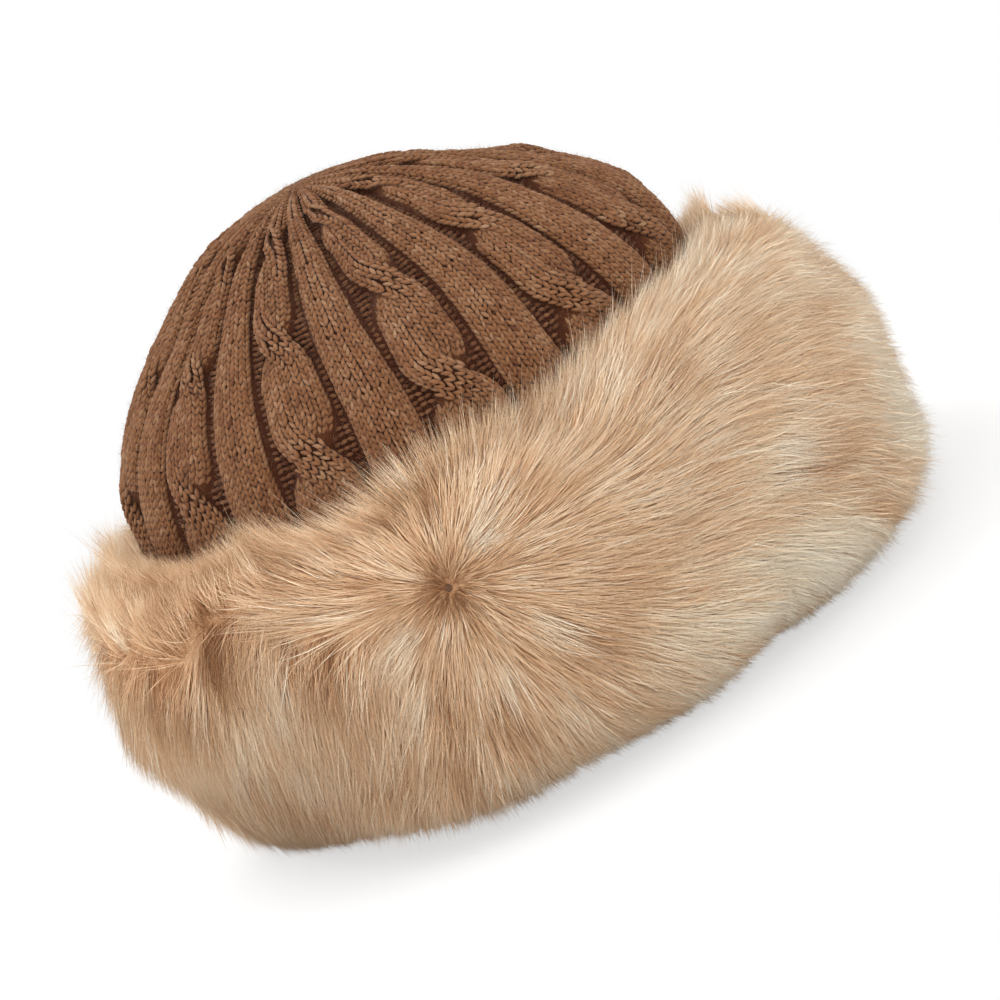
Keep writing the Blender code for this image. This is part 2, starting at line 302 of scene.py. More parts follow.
def plain_mesh(name, points, faces):
    """A smooth mesh, turned so that a closed shape faces outwards."""
    points = np.asarray(points, float).reshape(-1, 3)
    first, second, third = (points[[face[index] for face in faces]] for index in range(3))
    fourth = points[[face[-1] for face in faces]]
    volume = (first * np.cross(second, third)).sum() + (first * np.cross(third, fourth)).sum()
    if volume < 0:
        faces = [face[::-1] for face in faces]
    mesh = bpy.data.meshes.new(name)
    mesh.from_pydata(points.tolist(), [], faces)
    mesh.polygons.foreach_set("use_smooth", np.ones(len(faces), bool))
    return mesh


def swept_mesh(name, outer, inner, closed):
    """A shell between an outer and an inner sheet of points, as rows of sections that run round the hat."""
    loops = np.concatenate((outer, inner[:, ::-1]), axis=1)
    rows, across = loops.shape[:2]
    faces = []
    for row in range(rows if closed else rows - 1):
        here, there = row * across, (row + 1) % rows * across
        for index in range(across):
            after = (index + 1) % across
            faces.append((here + index, here + after, there + after, there + index))
    if not closed:
        for start, way in ((0, 1), ((rows - 1) * across, -1)):
            for index in range(across // 2 - 1):
                other = across - 1 - index
                corners = (start + index, start + other, start + other - 1, start + index + 1)
                faces.append(corners[::way])
    return plain_mesh(name, loops.reshape(-1, 3), faces)


def tube_mesh(name, paths, radius, sides=8):
    """Round threads along these paths. A path is its points and whether it closes on itself."""
    points, faces = [], []
    around = np.arange(sides) * FULL_TURN / sides
    for path, closed in paths:
        path = np.asarray(path, float)
        ahead = np.roll(path, -1, 0) - np.roll(path, 1, 0)
        if not closed:
            ahead[0], ahead[-1] = path[1] - path[0], path[-1] - path[-2]
        ahead = unit(ahead)
        side = np.cross(ahead[0], (0.0, 0.0, 1.0) if abs(ahead[0][2]) < 0.9 else (1.0, 0.0, 0.0))
        start, rings = len(points), []
        for place, way in zip(path, ahead):
            side = unit(side - way * (side @ way))
            up = np.cross(way, side)
            rings.append(place + radius * (np.outer(np.cos(around), side) + np.outer(np.sin(around), up)))
        shift = 0
        if closed:
            offsets = [np.roll(rings[0], -turn, 0) - rings[-1] for turn in range(sides)]
            shift = int(np.argmin([np.linalg.norm(offset, axis=1).sum() for offset in offsets]))
        for row in range(len(path) if closed else len(path) - 1):
            last = row == len(path) - 1
            here, there = start + row * sides, start + (0 if last else (row + 1) * sides)
            move = shift if last else 0
            for index in range(sides):
                after = (index + 1) % sides
                far_side = (there + (after + move) % sides, there + (index + move) % sides)
                faces.append((here + index, here + after, *far_side))
        points.extend(np.concatenate(rings).tolist())
        if not closed:
            faces.append(tuple(start + np.arange(sides)[::-1]))
            faces.append(tuple(start + (len(path) - 1) * sides + np.arange(sides)))
    return plain_mesh(name, points, faces)


def add_attribute(mesh, name, kind, values):
    field = {"FLOAT": "value", "FLOAT_VECTOR": "vector"}[kind]
    mesh.attributes.new(name, kind, "POINT").data.foreach_set(field, np.asarray(values, np.float32).ravel())


def sheet_mesh(name, points, out):
    """An open sheet of rows of points that faces outwards, for a node tree to grow strands on."""
    rows, number = points.shape[:2]
    faces = []
    for row in range(rows - 1):
        for index in range(number - 1):
            corner = row * number + index
            faces.append((corner, corner + 1, corner + number + 1, corner + number))
    mesh = bpy.data.meshes.new(name)
    mesh.from_pydata(points.reshape(-1, 3).tolist(), [], faces)
    mesh.update()
    normals = np.zeros(len(mesh.vertices) * 3, np.float32)
    mesh.vertices.foreach_get("normal", normals)
    if (normals.reshape(-1, 3) * out.reshape(-1, 3)).sum() < 0:
        mesh.flip_normals()
    return mesh


def point_mesh(name, points, **attributes):
    """Loose points with attributes, for a node tree to build on."""
    mesh = bpy.data.meshes.new(name)
    mesh.from_pydata(np.asarray(points, float).tolist(), [], [])
    for attribute, values in attributes.items():
        add_attribute(mesh, attribute, "FLOAT" if np.ndim(values) == 1 else "FLOAT_VECTOR", values)
    return mesh


def piece(name, mesh, material, slot, *replaced):
    """Adds a finished piece of the hat."""
    obj = bpy.data.objects.new(name, mesh)
    bpy.context.scene.collection.objects.link(obj)
    mesh.materials.clear()
    mesh.materials.append(material)
    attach(obj, BODY)
    if replaced:
        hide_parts(*replaced)
    return obj


def sewn(name, paths, radius, finish, slot="thread", sides=8):
    """Adds thread or yarn along these paths, in place of the solid of that name."""
    piece(name, tube_mesh(name, paths, radius, sides), finish, slot, name)


def grown_mesh(name, source, tree, **inputs):
    """What a node tree makes of a source mesh, as a plain mesh with no modifier."""
    holder = bpy.data.objects.new(name, source)
    bpy.context.scene.collection.objects.link(holder)
    modifier = holder.modifiers.new(name, "NODES")
    modifier.node_group = tree
    for item in tree.interface.items_tree:
        if item.in_out == "INPUT" and item.name in inputs:
            modifier[item.identifier] = inputs[item.name]
    graph = bpy.context.evaluated_depsgraph_get()
    mesh = bpy.data.meshes.new_from_object(holder.evaluated_get(graph), depsgraph=graph)
    holder.modifiers.remove(modifier)
    bpy.data.objects.remove(holder)
    for attribute in [item.name for item in mesh.attributes]:
        if attribute not in KEPT_ATTRIBUTES:
            mesh.attributes.remove(mesh.attributes[attribute])
    if not mesh.polygons:
        raise RuntimeError(f"{name} came out empty")
    mesh.name = name
    return mesh


# Places on the hat


def grid(*ranges):
    """Every pairing of some values, as one array for each."""
    return np.meshgrid(*ranges, indexing="ij")


def unit(vectors):
    return vectors / np.maximum(np.linalg.norm(vectors, axis=-1, keepdims=True), 1e-12)


def eased(values, low, high):
    """0 below low, 1 above high, and smooth between them."""
    step = np.clip((values - low) / (high - low), 0.0, 1.0)
    return step * step * (3.0 - 2.0 * step)


def between(values, start, whole, fading, gone):
    """0 below start, 1 from whole to fading, and 0 again above gone."""
    return eased(values, start, whole) * (1.0 - eased(values, fading, gone))


def wrapped(turn, period=FULL_TURN):
    """The same turn, within half a period of 0."""
    return (turn + period / 2) % period - period / 2


def hump(values, middle, reach):
    """1 at the middle, fading away to both sides over its reach."""
    return np.exp(-(((values - middle) / reach) ** 2))


def bell(turn, middle, reach):
    """1 at a turn of this many degrees, fading away to both sides over its reach in degrees."""
    return hump(wrapped(turn - math.radians(middle)), 0.0, math.radians(reach))


def bells(turn, changes):
    """The sum of some changes: each by how much, at what turn and over what reach in degrees."""
    return sum(change * bell(turn, middle, reach) for change, middle, reach in changes)


def on_plan(crown, radius, turn, height):
    """Points at a radius and a turn, on the oval plan of the hat."""
    east, north = radius * np.cos(turn), radius * crown.oval * np.sin(turn)
    return np.stack(np.broadcast_arrays(east, north, height), -1)


def mottle(points, size, seed):
    """Smooth patches of about this size, from -1 to 1."""
    shift = Vector((seed * 7.31, seed * 3.17, seed * 5.71))
    flat = np.asarray(points, float).reshape(-1, 3) / size
    return np.array([noise.noise(Vector(point) + shift) for point in flat]).reshape(np.shape(points)[:-1])


def sheet_round(crown, turns, profile):
    """A sheet of points round the hat, by a profile of rises and heights."""
    turn, rise = grid(turns, profile[:, 0])
    return on_plan(crown, crown.radius + rise, turn, np.broadcast_to(profile[:, 1], turn.shape))


# Where the soft dome sinks or swells: by how much, at what turn and over what reach in degrees, and how far
# down the dome and over what reach, as shares of its length
DOME_CHANGES = (
    (-0.0052, 32.0, 50.0, 0.35, 0.19),
    (-0.0026, 205.0, 35.0, 0.45, 0.12),
    (0.0040, 0.0, 40.0, 0.78, 0.15),
    (0.0030, 185.0, 40.0, 0.78, 0.15),
)


class Meridian:
    """The line from the apex down the outside of the crown, or of a layer at some rise from it."""

    STEPS = 900

    def __init__(self, crown, rise=0.0):
        tilt = np.linspace(math.pi / 2, 0.0, self.STEPS)
        height = crown.wall_height + (crown.dome_rise + rise) * np.sin(tilt) ** crown.pointedness
        self.radius = np.append((crown.radius + rise) * np.cos(tilt), crown.radius + rise)
        self.height = np.append(height, crown.hem_height)
        steps = np.hypot(np.diff(self.radius), np.diff(self.height))
        self.along = np.concatenate(([0.0], np.cumsum(steps)))
        self.dome = self.along[self.STEPS - 1]

    def sag(self, along, turn):
        """How far the soft dome stands out from its plain shape, or sinks."""
        down = along / self.dome
        return sum(
            change * bell(turn, middle, reach) * hump(down, from_apex, spread)
            for change, middle, reach, from_apex, spread in DOME_CHANGES
        )

    def at(self, along):
        return np.interp(along, self.along, self.radius), np.interp(along, self.along, self.height)

    def from_radius(self, radius):
        """Length along the dome to where it has this radius."""
        return float(np.interp(radius, self.radius[: self.STEPS], self.along[: self.STEPS]))

    def axes(self, crown, along, turn):
        """Place, and the directions outwards, down and to the right there."""
        step = 0.0005
        radius, height = self.at(along)
        low_radius, low_height = self.at(along + step)
        high_radius, high_height = self.at(np.maximum(along - step, 0.0))
        spread, drop = low_radius - high_radius, low_height - high_height
        down = unit(on_plan(crown, spread, turn, drop))
        right = unit(np.stack(np.broadcast_arrays(-np.sin(turn), crown.oval * np.cos(turn), 0.0 * turn), -1))
        out = unit(np.cross(down, right))
        place = on_plan(crown, radius, turn, height) + self.sag(along, turn)[..., None] * out
        return place, out, down, right


# Knitting


def padding(across):
    """Height over a padded band, from 1 along its middle to 0 at its edges."""
    return np.clip(1.0 - np.abs(across) ** 2.2, 0.0, 1.0) ** 0.75


def slope(curve, at, step=0.0003):
    """How steeply a curve rises at a place."""
    return (curve(at + step) - curve(at - step)) / (2 * step)


def every(*choices):
    """Each way to take one of every choice, as one list for each."""
    return [values.ravel() for values in grid(*choices)]


def chosen(keep, *lists):
    return [items[keep] for items in lists]


class Knit:
    """Where the ribs, cables and stitches of the crown lie."""

    # Most columns of stitches in a band, and the narrowest of them as a share of a wale
    MOST_COLUMNS = 10
    NARROWEST = 0.45
    # Radii between which the relief fades in, going out from the apex
    RELIEF_FADE = (0.006, 0.030)
    # Share of a cable's relief that is the round of the whole cable, and not of its strands
    CABLE_ROUND = 0.72
    # A crossing: its reach as a share of its length, its widening, and its upper and lower strand's lift
    CROSSING_REACH = 0.38
    CROSSING_SPREAD = 0.18
    UPPER_LIFT, LOWER_LIFT = 0.0011, -0.0016
    # A leg of a stitch: its sizes in yarns, rows and yarns, the least share of its girth near the apex, its
    # slant in degrees, its dive, its place from the middle of its wale in wales, and its lift
    LEG = (0.46, 0.98, 0.45)
    LEAST_GIRTH = 0.35
    LEG_SLANT = 18.0
    LEG_DIVE = 0.20
    LEG_PLACE = 0.245
    LEG_LIFT = 0.00018
    # Purl bumps: their places in half a repeat, the radius where they start, length in wales, and lift
    PURL_PLACES = (0.235, 0.285, 0.335, 0.385, 0.435)
    PURL_START = 0.018
    PURL_LENGTH = 0.55
    PURL_LIFT = 0.0001

    def __init__(self, crown):
        self.crown = crown
        self.line = Meridian(crown)
        self.repeat_turn = FULL_TURN / crown.repeats
        self.cable_turn = FRONT + crown.cable_turn
        self.rib_turn = self.cable_turn + self.repeat_turn / 2

    def widths(self, along):
        """Radius, half a rib, half a strand of a cable and a wale, at this distance from the apex."""
        crown = self.crown
        radius = self.line.at(along)[0]
        repeat = self.repeat_turn * radius
        wale = crown.wale * np.clip(radius / crown.full_radius, self.NARROWEST, 1.0)
        return radius, repeat * crown.rib_share / 2, repeat * crown.cable_share / 4, wale

    def crossing(self, along):
        """Side of a cable's first strand (-1 left, 1 right), nearness of a crossing, and if it is on top."""
        crown = self.crown
        order = np.maximum(np.round((along - crown.first_crossing) / crown.crossing_gap), 0.0)
        away = along - crown.first_crossing - crown.crossing_gap * order
        swing = 2.0 * eased(away, -crown.crossing_length / 2, crown.crossing_length / 2) - 1.0
        first_on_top = order % 2 == 0
        near = hump(away, 0.0, self.CROSSING_REACH * crown.crossing_length)
        return np.where(first_on_top, swing, -swing), near, first_on_top

    def sway(self, along, turn):
        """The ribs' own unevenness to the side."""
        return 0.0007 * np.sin(3.0 * turn + 60.0 * along) + 0.0005 * np.sin(7.0 * turn - 95.0 * along)

    def depth(self, along, share_of_rise):
        """Rise of the knit, from that of the ground at 0 to that of a rib's middle at 1."""
        fade = eased(self.line.at(along)[0], *self.RELIEF_FADE)
        return (self.crown.swell * share_of_rise - self.crown.groove_depth * (1.0 - share_of_rise)) * fade

    def rib_rise(self, along, across):
        return self.depth(along, padding(across / self.widths(along)[1]))

    def cable_rise(self, along, across, in_strand):
        """Rise of a strand, from its place in the cable and in the strand."""
        strand = self.widths(along)[2]
        whole = padding(across / (strand * (1.0 + np.abs(self.crossing(along)[0]))))
        own = padding(in_strand / strand)
        return self.depth(along, self.CABLE_ROUND * whole + (1.0 - self.CABLE_ROUND) * own)

    def ground_rise(self, along, turn):
        """Rise of the fabric that the stitches lie on."""
        radius, _, strand, _ = self.widths(along)
        level = turn - self.sway(along, turn) / radius
        rib = self.rib_rise(along, wrapped(level - self.rib_turn, self.repeat_turn) * radius)
        across = wrapped(level - self.cable_turn, self.repeat_turn) * radius
        side = self.crossing(along)[0]
        rises = [self.depth(along, 0.0 * across), rib]
        for way in (-1.0, 1.0):
            in_strand = across - way * side * strand
            cable = self.cable_rise(along, across, in_strand)
            rises.append(np.where(np.abs(in_strand) < strand, cable, rises[0]))
        return np.max(rises, axis=0)

    def rows(self):
        start = self.line.from_radius(0.7 * self.crown.hole_radius)
        return np.arange(start, self.crown.stitched_length, self.crown.row)

    def places(self):
        """Every row, repeat and column that may hold a stitch."""
        return every(self.rows(), np.arange(self.crown.repeats), np.arange(self.MOST_COLUMNS))

    @staticmethod
    def columns(column, half_width, wale):
        """Where a column lies in a band, the width of its stitches, and if the band has room for it."""
        number = np.maximum(np.round(2.0 * half_width / wale), 1.0)
        width = 2.0 * half_width / number
        return (column + 0.5) * width - half_width, width, column < number

    def rib_legs(self, rng):
        """Two legs for each stitch of the ribs."""
        along, repeat, column = self.places()
        _, half_rib, _, wale = self.widths(along)
        across, wale, keep = self.columns(column, half_rib, wale)
        along, repeat, across, wale = chosen(keep, along, repeat, across, wale)
        turn = self.rib_turn + repeat * self.repeat_turn
        steep = slope(lambda place: self.rib_rise(along, place), across)
        return self.legs(rng, along, turn, across, self.rib_rise(along, across), steep, 0.0 * across, wale)

    def cable_legs(self, rng, first):
        """Two legs for each stitch of one strand of the cables, without those that the other strand hides."""
        along, repeat, column = self.places()
        _, _, strand, wale = self.widths(along)
        side, near, first_on_top = self.crossing(along)
        on_top = first_on_top == first
        hidden = ~on_top & (near > 0.5) & (np.abs(side) < 0.55)
        in_strand, wale, keep = self.columns(column, strand, wale)
        keep = keep & ~hidden
        along, repeat, in_strand = chosen(keep, along, repeat, in_strand)
        wale, near, on_top = chosen(keep, wale, near, on_top)
        way = 1.0 if first else -1.0

        def middle(place):
            return way * self.crossing(place)[0] * self.widths(place)[2]

        def rise(move):
            return self.cable_rise(along, across + move, in_strand + move)

        across = middle(along) + in_strand * (1.0 + self.CROSSING_SPREAD * near)
        lift = near * np.where(on_top, self.UPPER_LIFT, self.LOWER_LIFT)
        turn = self.cable_turn + repeat * self.repeat_turn
        steep, lean = slope(rise, 0.0), slope(middle, along)
        return self.legs(rng, along, turn, across, rise(0.0) + lift, steep, lean, wale)

    def legs(self, rng, along, turn, across, rise, steep, lean, wale):
        """Places, headings and sizes of the two legs of each stitch, which open towards the apex."""
        crown = self.crown
        radius = self.line.at(along)[0]
        number = len(along)
        along = along + rng.normal(0.0, 0.06, number) * crown.row
        turn = turn + (across + self.sway(along, turn)) / radius
        place, out, down, right = self.line.axes(crown, along, turn)
        out = unit(out - steep[:, None] * right)
        up = -unit(down + lean[:, None] * right)
        beside = unit(np.cross(up, out))
        girth = self.LEAST_GIRTH + (1.0 - self.LEAST_GIRTH) * (wale / crown.wale)[:, None]
        groups = []
        for way in (-1.0, 1.0):
            opening = math.tan(math.radians(self.LEG_SLANT)) + rng.normal(0.0, 0.05, number)[:, None]
            heading = unit(up + way * opening * beside - self.LEG_DIVE * out)
            shift = way * (self.LEG_PLACE + rng.normal(0.0, 0.02, number)[:, None]) * wale[:, None]
            lift = rise[:, None] + self.LEG_LIFT + rng.normal(0.0, 0.00008, number)[:, None]
            size = np.array(self.LEG) * (crown.yarn, crown.row, crown.yarn)
            size = size * (1.0 + rng.normal(0.0, 0.05, (number, 1)))
            size[:, [0, 2]] *= girth
            groups.append((place + shift * beside + lift * out, heading, out, size))
        return [np.concatenate(items) for items in zip(*groups)]

    def purl_bumps(self, rng):
        """The level bumps of the ground, where no rib or strand covers it."""
        crown = self.crown
        places = np.array(self.PURL_PLACES)
        places = np.concatenate((places, 1.0 - places))
        along, repeat, place_in_repeat = every(self.rows(), np.arange(crown.repeats), places)
        radius, _, strand, wale = self.widths(along)
        across = (place_in_repeat - 0.5) * self.repeat_turn * radius
        middle = self.crossing(along)[0] * strand
        clear = np.minimum(np.abs(across - middle), np.abs(across + middle)) > 0.97 * strand
        keep = clear & (radius > self.PURL_START)
        along, repeat, across, radius, wale = chosen(keep, along, repeat, across, radius, wale)
        number = len(along)
        turn = self.cable_turn + repeat * self.repeat_turn
        turn = turn + (across + self.sway(along, turn)) / radius
        along = along + rng.normal(0.0, 0.08, number) * crown.row
        place, out, down, right = self.line.axes(crown, along, turn)
        lift = self.depth(along, 0.0 * along)[:, None] + self.PURL_LIFT
        heading = unit(right + rng.normal(0.0, 0.18, (number, 1)) * down)
        girth = np.full(number, crown.yarn * self.LEG[0])
        return [place + lift * out, heading, out, np.stack((girth, self.PURL_LENGTH * wale, girth), -1)]


# Node trees


def new_tree(name, result, kinds):
    """A tree that takes these inputs, by their kind, and gives one geometry."""
    tree = bpy.data.node_groups.new(name, "GeometryNodeTree")
    for kind, inputs in kinds.items():
        for label in inputs:
            tree.interface.new_socket(label, in_out="INPUT", socket_type=f"NodeSocket{kind}")
    tree.interface.new_socket(result, in_out="OUTPUT", socket_type="NodeSocketGeometry")
    return tree


def given(tree, name):
    return Wire.node(tree, "NodeGroupInput", output=name)


def named(tree, name, kind="FLOAT"):
    return Wire.node(tree, "GeometryNodeInputNamedAttribute", {"data_type": kind}, {"Name": name})


def stored(tree, geometry, name, value, kind="FLOAT", domain="POINT"):
    settings = {"data_type": kind, "domain": domain}
    sockets = {"Geometry": geometry, "Name": name, "Value": value}
    return Wire.node(tree, "GeometryNodeStoreNamedAttribute", settings, sockets)


def separate(tree, vector):
    return [Wire.node(tree, "ShaderNodeSeparateXYZ", None, {0: vector}, axis) for axis in "XYZ"]


def laid(tree, points, instance, **sockets):
    """One of the instance on each point, as a mesh."""
    sockets = {"Points": points, "Instance": instance, **sockets}
    copies = Wire.node(tree, "GeometryNodeInstanceOnPoints", None, sockets)
    return Wire.node(tree, "GeometryNodeRealizeInstances", None, {"Geometry": copies})


def finish_tree(tree, mesh, material):
    """Gives each face a place by tone and along, then its material, and ends the tree."""
    by_tone = named(tree, "tone") * 0.96 + 0.02 + named(tree, "side") * 0.004
    by_length = named(tree, "along") * 0.96 + 0.02
    place = Wire.node(tree, "ShaderNodeCombineXYZ", None, {"X": by_tone, "Y": by_length})
    mesh = stored(tree, mesh, "OFBake", place, "FLOAT2", "CORNER")
    mesh = Wire.node(tree, "GeometryNodeSetShadeSmooth", None, {"Geometry": mesh})
    mesh = Wire.node(tree, "GeometryNodeSetMaterial", None, {"Geometry": mesh, "Material": material})
    end = tree.nodes.new("NodeGroupOutput")
    tree.links.new(mesh.socket, end.inputs[0])


def stitch_tree():
    """A leg of yarn on each point, turned to its heading."""
    kinds = {"Geometry": ["Points"], "Int": ["Sides", "Rings"], "Material": ["Yarn"]}
    tree = new_tree("stitches", "Stitches", kinds)
    sockets = {"Segments": given(tree, "Sides"), "Rings": given(tree, "Rings"), "Radius": 1.0}
    leg = Wire.node(tree, "GeometryNodeMeshUVSphere", None, sockets)
    across, along, over = separate(tree, Wire.node(tree, "GeometryNodeInputPosition"))
    leg = stored(tree, leg, "along", along * 0.5 + 0.5)
    leg = stored(tree, leg, "side", across + over * 0.6)
    heading, out, size = (named(tree, name, "FLOAT_VECTOR") for name in ("heading", "out", "size"))
    settings = {"primary_axis": "Y", "secondary_axis": "Z"}
    turned = Wire.node(tree, "FunctionNodeAxesToRotation", settings, {0: heading, 1: out})
    mesh = laid(tree, given(tree, "Points"), leg, Rotation=turned, Scale=size)
    finish_tree(tree, mesh, given(tree, "Yarn"))
    return tree


# Finishes


def new_material(name):
    material = bpy.data.materials.new(name)
    material.use_nodes = True
    material.node_tree.nodes.clear()
    return material, material.node_tree


def end_material(tree, base, roughness, specular=0.25, sheen=0.0, normal=None):
    """A plain cloth shader. The sheen and the gloss are the same all over."""
    sockets = {"Base Color": base, "Roughness": roughness, "Specular IOR Level": specular}
    sockets["Sheen Weight"] = sheen
    if normal is not None:
        sockets["Normal"] = normal
    shader = Wire.node(tree, "ShaderNodeBsdfPrincipled", None, sockets)
    Wire.node(tree, "ShaderNodeOutputMaterial", None, {"Surface": shader})


def carried(tree, name):
    """A value that a strand, a stitch or a fabric carries."""
    return Wire.node(tree, "ShaderNodeAttribute", {"attribute_name": name}, output="Fac")


def ramp(tree, stops):
    """Colour by the tone that is carried."""
    return Wire.node(tree, "ShaderNodeValToRGB", {"stops": stops}, {0: carried(tree, "tone")}, "Color")


def mix(tree, factor, first, second):
    sockets = {"Factor": factor, "A": first, "B": second}
    return Wire.node(tree, "ShaderNodeMix", {"data_type": "RGBA"}, sockets, "Result")


def plain(tree, shade):
    return Wire.node(tree, "ShaderNodeCombineXYZ", None, dict(enumerate(shade)))


def own_place(tree):
    return Wire.node(tree, "ShaderNodeTexCoord", output="Object")


def speckle(tree, scale, detail):
    sockets = {"Vector": own_place(tree), "Scale": scale, "Detail": detail}
    return Wire.node(tree, "ShaderNodeTexNoise", None, sockets)


def relief(tree, height, depth, strength=0.6):
    sockets = {"Strength": strength, "Distance": depth, "Height": height}
    return Wire.node(tree, "ShaderNodeBump", None, sockets)


def strand_material(name, stops, root, reach):
    """Colour by a strand's tone, darker and warmer towards its root up to this share of its length, as painted
    shade deep in the fur.
    """
    material, tree = new_material(name)
    colours = ramp(tree, stops)
    # Painted shade: each strand darkens towards its root
    grown = (carried(tree, "along") / reach).maths("MINIMUM", 1.0)
    end_material(tree, mix(tree, grown, colours.vector_maths("MULTIPLY", root), colours), 0.65, 0.2)
    return material


def yarn_material(name, colours):
    """Colour by a stitch's tone, darker and redder where the leg dives at its ends, as painted shade where it
    goes into the fabric.
    """
    material, tree = new_material(name)
    stops = ((0.0, colours.knit_dark), (0.5, colours.knit_brown), (1.0, colours.knit_light))
    # Painted shade: each leg darkens towards the darkest yarn colour at both ends, where it dives into the
    # fabric
    lit_middle = (carried(tree, "along") * math.pi).maths("SINE")
    base = mix(tree, 0.58 + 0.42 * lit_middle, (*colours.knit_dark, 1.0), ramp(tree, stops))
    end_material(tree, base, 0.9, 0.12, 0.08)
    return material


def cloth_material(name, shade, swing, size, depth):
    """Soft cloth: a colour with patches and fine fibres, and a little relief."""
    material, tree = new_material(name)
    fibres = speckle(tree, 1.0 / size, 4.0)
    fibre_patches = 1.0 - swing + 0.9 * swing * speckle(tree, 0.12 / size, 3.0) + 1.1 * swing * fibres
    end_material(tree, plain(tree, shade) * fibre_patches, 0.9, 0.2, 0.2, relief(tree, fibres, depth))
    return material


def ground_material(name, stops):
    """What lies behind stitches or hair: a colour by its tone, which carries painted shade, with fine fibres.
    """
    material, tree = new_material(name)
    fibres = speckle(tree, 1100.0, 3.0)
    base = ramp(tree, stops) * (0.45 + 0.7 * fibres)
    end_material(tree, base, 0.9, 0.1, 0.05, relief(tree, fibres, 0.0004))
    return material


def thread_material(name, shade, twist):
    """Twisted thread or yarn, with slanting plies in its colour and relief."""
    material, tree = new_material(name)
    settings = {"wave_type": "BANDS", "bands_direction": "DIAGONAL"}
    sockets = {"Vector": own_place(tree), "Scale": 0.3 / twist, "Distortion": 1.5, "Detail": 2.0}
    plies = Wire.node(tree, "ShaderNodeTexWave", settings, sockets, "Fac")
    base = plain(tree, shade) * (0.65 + 0.6 * plies)
    end_material(tree, base, 0.8, 0.25, 0.15, relief(tree, plies, 0.0002, 0.5))
    return material


def fur_stops(colours):
    shades = ("fur_root", "fur_tan", "fur_beige", "fur_cream", "fur_white")
    return [(index / 4, getattr(colours, name)) for index, name in enumerate(shades)]


# Fur


# The hide under the fur, from the lip beside the knit over the outside to the rim: rise and height
HIDE_PROFILE = (
    (0.0022, 0.0975),
    (0.0065, 0.1005),
    (0.0140, 0.1015),
    (0.0212, 0.0995),
    (0.0265, 0.0940),
    (0.0298, 0.0850),
    (0.0315, 0.0700),
    (0.0315, 0.0520),
    (0.0306, 0.0350),
    (0.0284, 0.0200),
    (0.0245, 0.0110),
    (0.0185, 0.0068),
    (0.0105, 0.0056),
    (0.0020, 0.0050),
    (-0.0066, 0.0046),
)
# Height that the wadding, and what lies round it, is mirrored at
WADDING_MIDDLE = 0.052


def mirrored(upper):
    """A whole profile from its upper half, which ends at the wadding's middle."""
    return (*upper, *((rise, 2 * WADDING_MIDDLE - height) for rise, height in upper[-2::-1]))


# The front of the wadding, from the top down
WADDING_PROFILE = mirrored(((0.0019, 0.0875), (0.0082, 0.0832), (0.0120, 0.0720), (0.0130, 0.0520)))
# The back of a strip of fur, round the wadding and on to the rim
BACK_PROFILE = (
    (0.0017, 0.0955),
    *mirrored(((0.0017, 0.0884), (0.0085, 0.0842), (0.0128, 0.0725), (0.0140, 0.0520))),
    (0.0017, 0.0057),
    (-0.0066, 0.0056),
)
# The thread of a side join, inside the fur and round the wadding
JOIN_PROFILE = (
    (0.0026, 0.1000),
    *mirrored(((0.0026, 0.0880), (0.0092, 0.0837), (0.0134, 0.0722), (0.0146, 0.0520))),
    (0.0026, 0.0070),
)
# How far the lip stands over the profile, where it is higher or lower: by how much, at what turn and over
# what reach in degrees, and the heights between which this comes in
LIP_RISE = 0.0035
LIP_CHANGES = (
    (-0.0075, 250.0, 20.0),
    (-0.0070, 286.0, 11.0),
    (0.0030, 233.0, 16.0),
    (0.0030, 200.0, 9.0),
    (0.0035, 312.0, 22.0),
    (-0.0070, 20.0, 28.0),
    (0.0032, -13.0, 17.0),
)
LIP_HEIGHTS = (0.080, 0.0985)
# Where the hide swells: by how much, at what turn and over what reach in degrees, and the heights where the
# swelling starts, is whole, fades and is gone
SWELLS = (
    (0.0025, -17.0, 49.0, (-2.0, -1.0, 1.0, 2.0)),
    (0.0045, -5.0, 30.0, (0.030, 0.046, 0.064, 0.096)),
    (0.0172, -22.0, 29.0, (-2.0, -1.0, 0.005, 0.048)),
)
# Where the rim is hitched up: by how much, at what turn and over what reach, and the heights where that fades
HITCHES = ((0.0085, 228.0, 22.0), (0.0045, 264.0, 11.0), (0.0015, 290.0, 22.0), (0.0035, 298.0, 7.0))
HITCH_HEIGHTS = (0.010, 0.065)
# Where the hide tucks in low down at the left, and a little below the lip, in the same way
LOW_TUCK = ((0.0146, 200.0, 32.0),)
LOW_TUCK_HEIGHTS = (-0.005, 0.085)
HIGH_TUCK = ((0.0025, 190.0, 32.0),)
HIGH_TUCK_HEIGHTS = (0.062, 0.085)
# Rise of the hide over which a high tuck comes in, and the rise from the rim at which a low one is whole
HIGH_TUCK_RISE = (0.008, 0.024)
WHOLE_TUCK = 0.036
# Stroke of the fur round a whorl: bearing from the whorl, and bearing of the hair there, both in degrees
STROKES = (
    (-157, -78),
    (-135, -78),
    (-110, -84),
    (-90, -90),
    (-60, -58),
    (-30, -20),
    (0, 2),
    (30, 28),
    (50, 52),
    (70, 76),
    (90, 98),
    (110, 124),
    (135, 153),
    (165, 178),
    (185, 190),
    (203, 205),
)
# Changes of that: degrees, the distances where it starts and is whole, and the bearings that it is about
STROKE_CHANGES = (
    (-18.0, 0.050, 0.150, 29.0, 40.0),
    (11.0, 0.040, 0.065, -150.0, 32.0),
    (-60.0, 0.045, 0.070, 200.0, 32.0),
)
# The parting left of a whorl: its bearing in degrees by distance from the whorl
PARTING = ((0.030, 207.0), (0.047, 203.0), (0.061, 194.0), (0.076, 199.0), (0.088, 203.0), (0.107, 208.0))
# Stroke at the side joins, as shares to the right and up, its reach, and distances down where it comes in
JOIN_STROKE = (0.45, -0.75)
JOIN_REACH = 0.018
JOIN_DOWN = (0.028, 0.055)
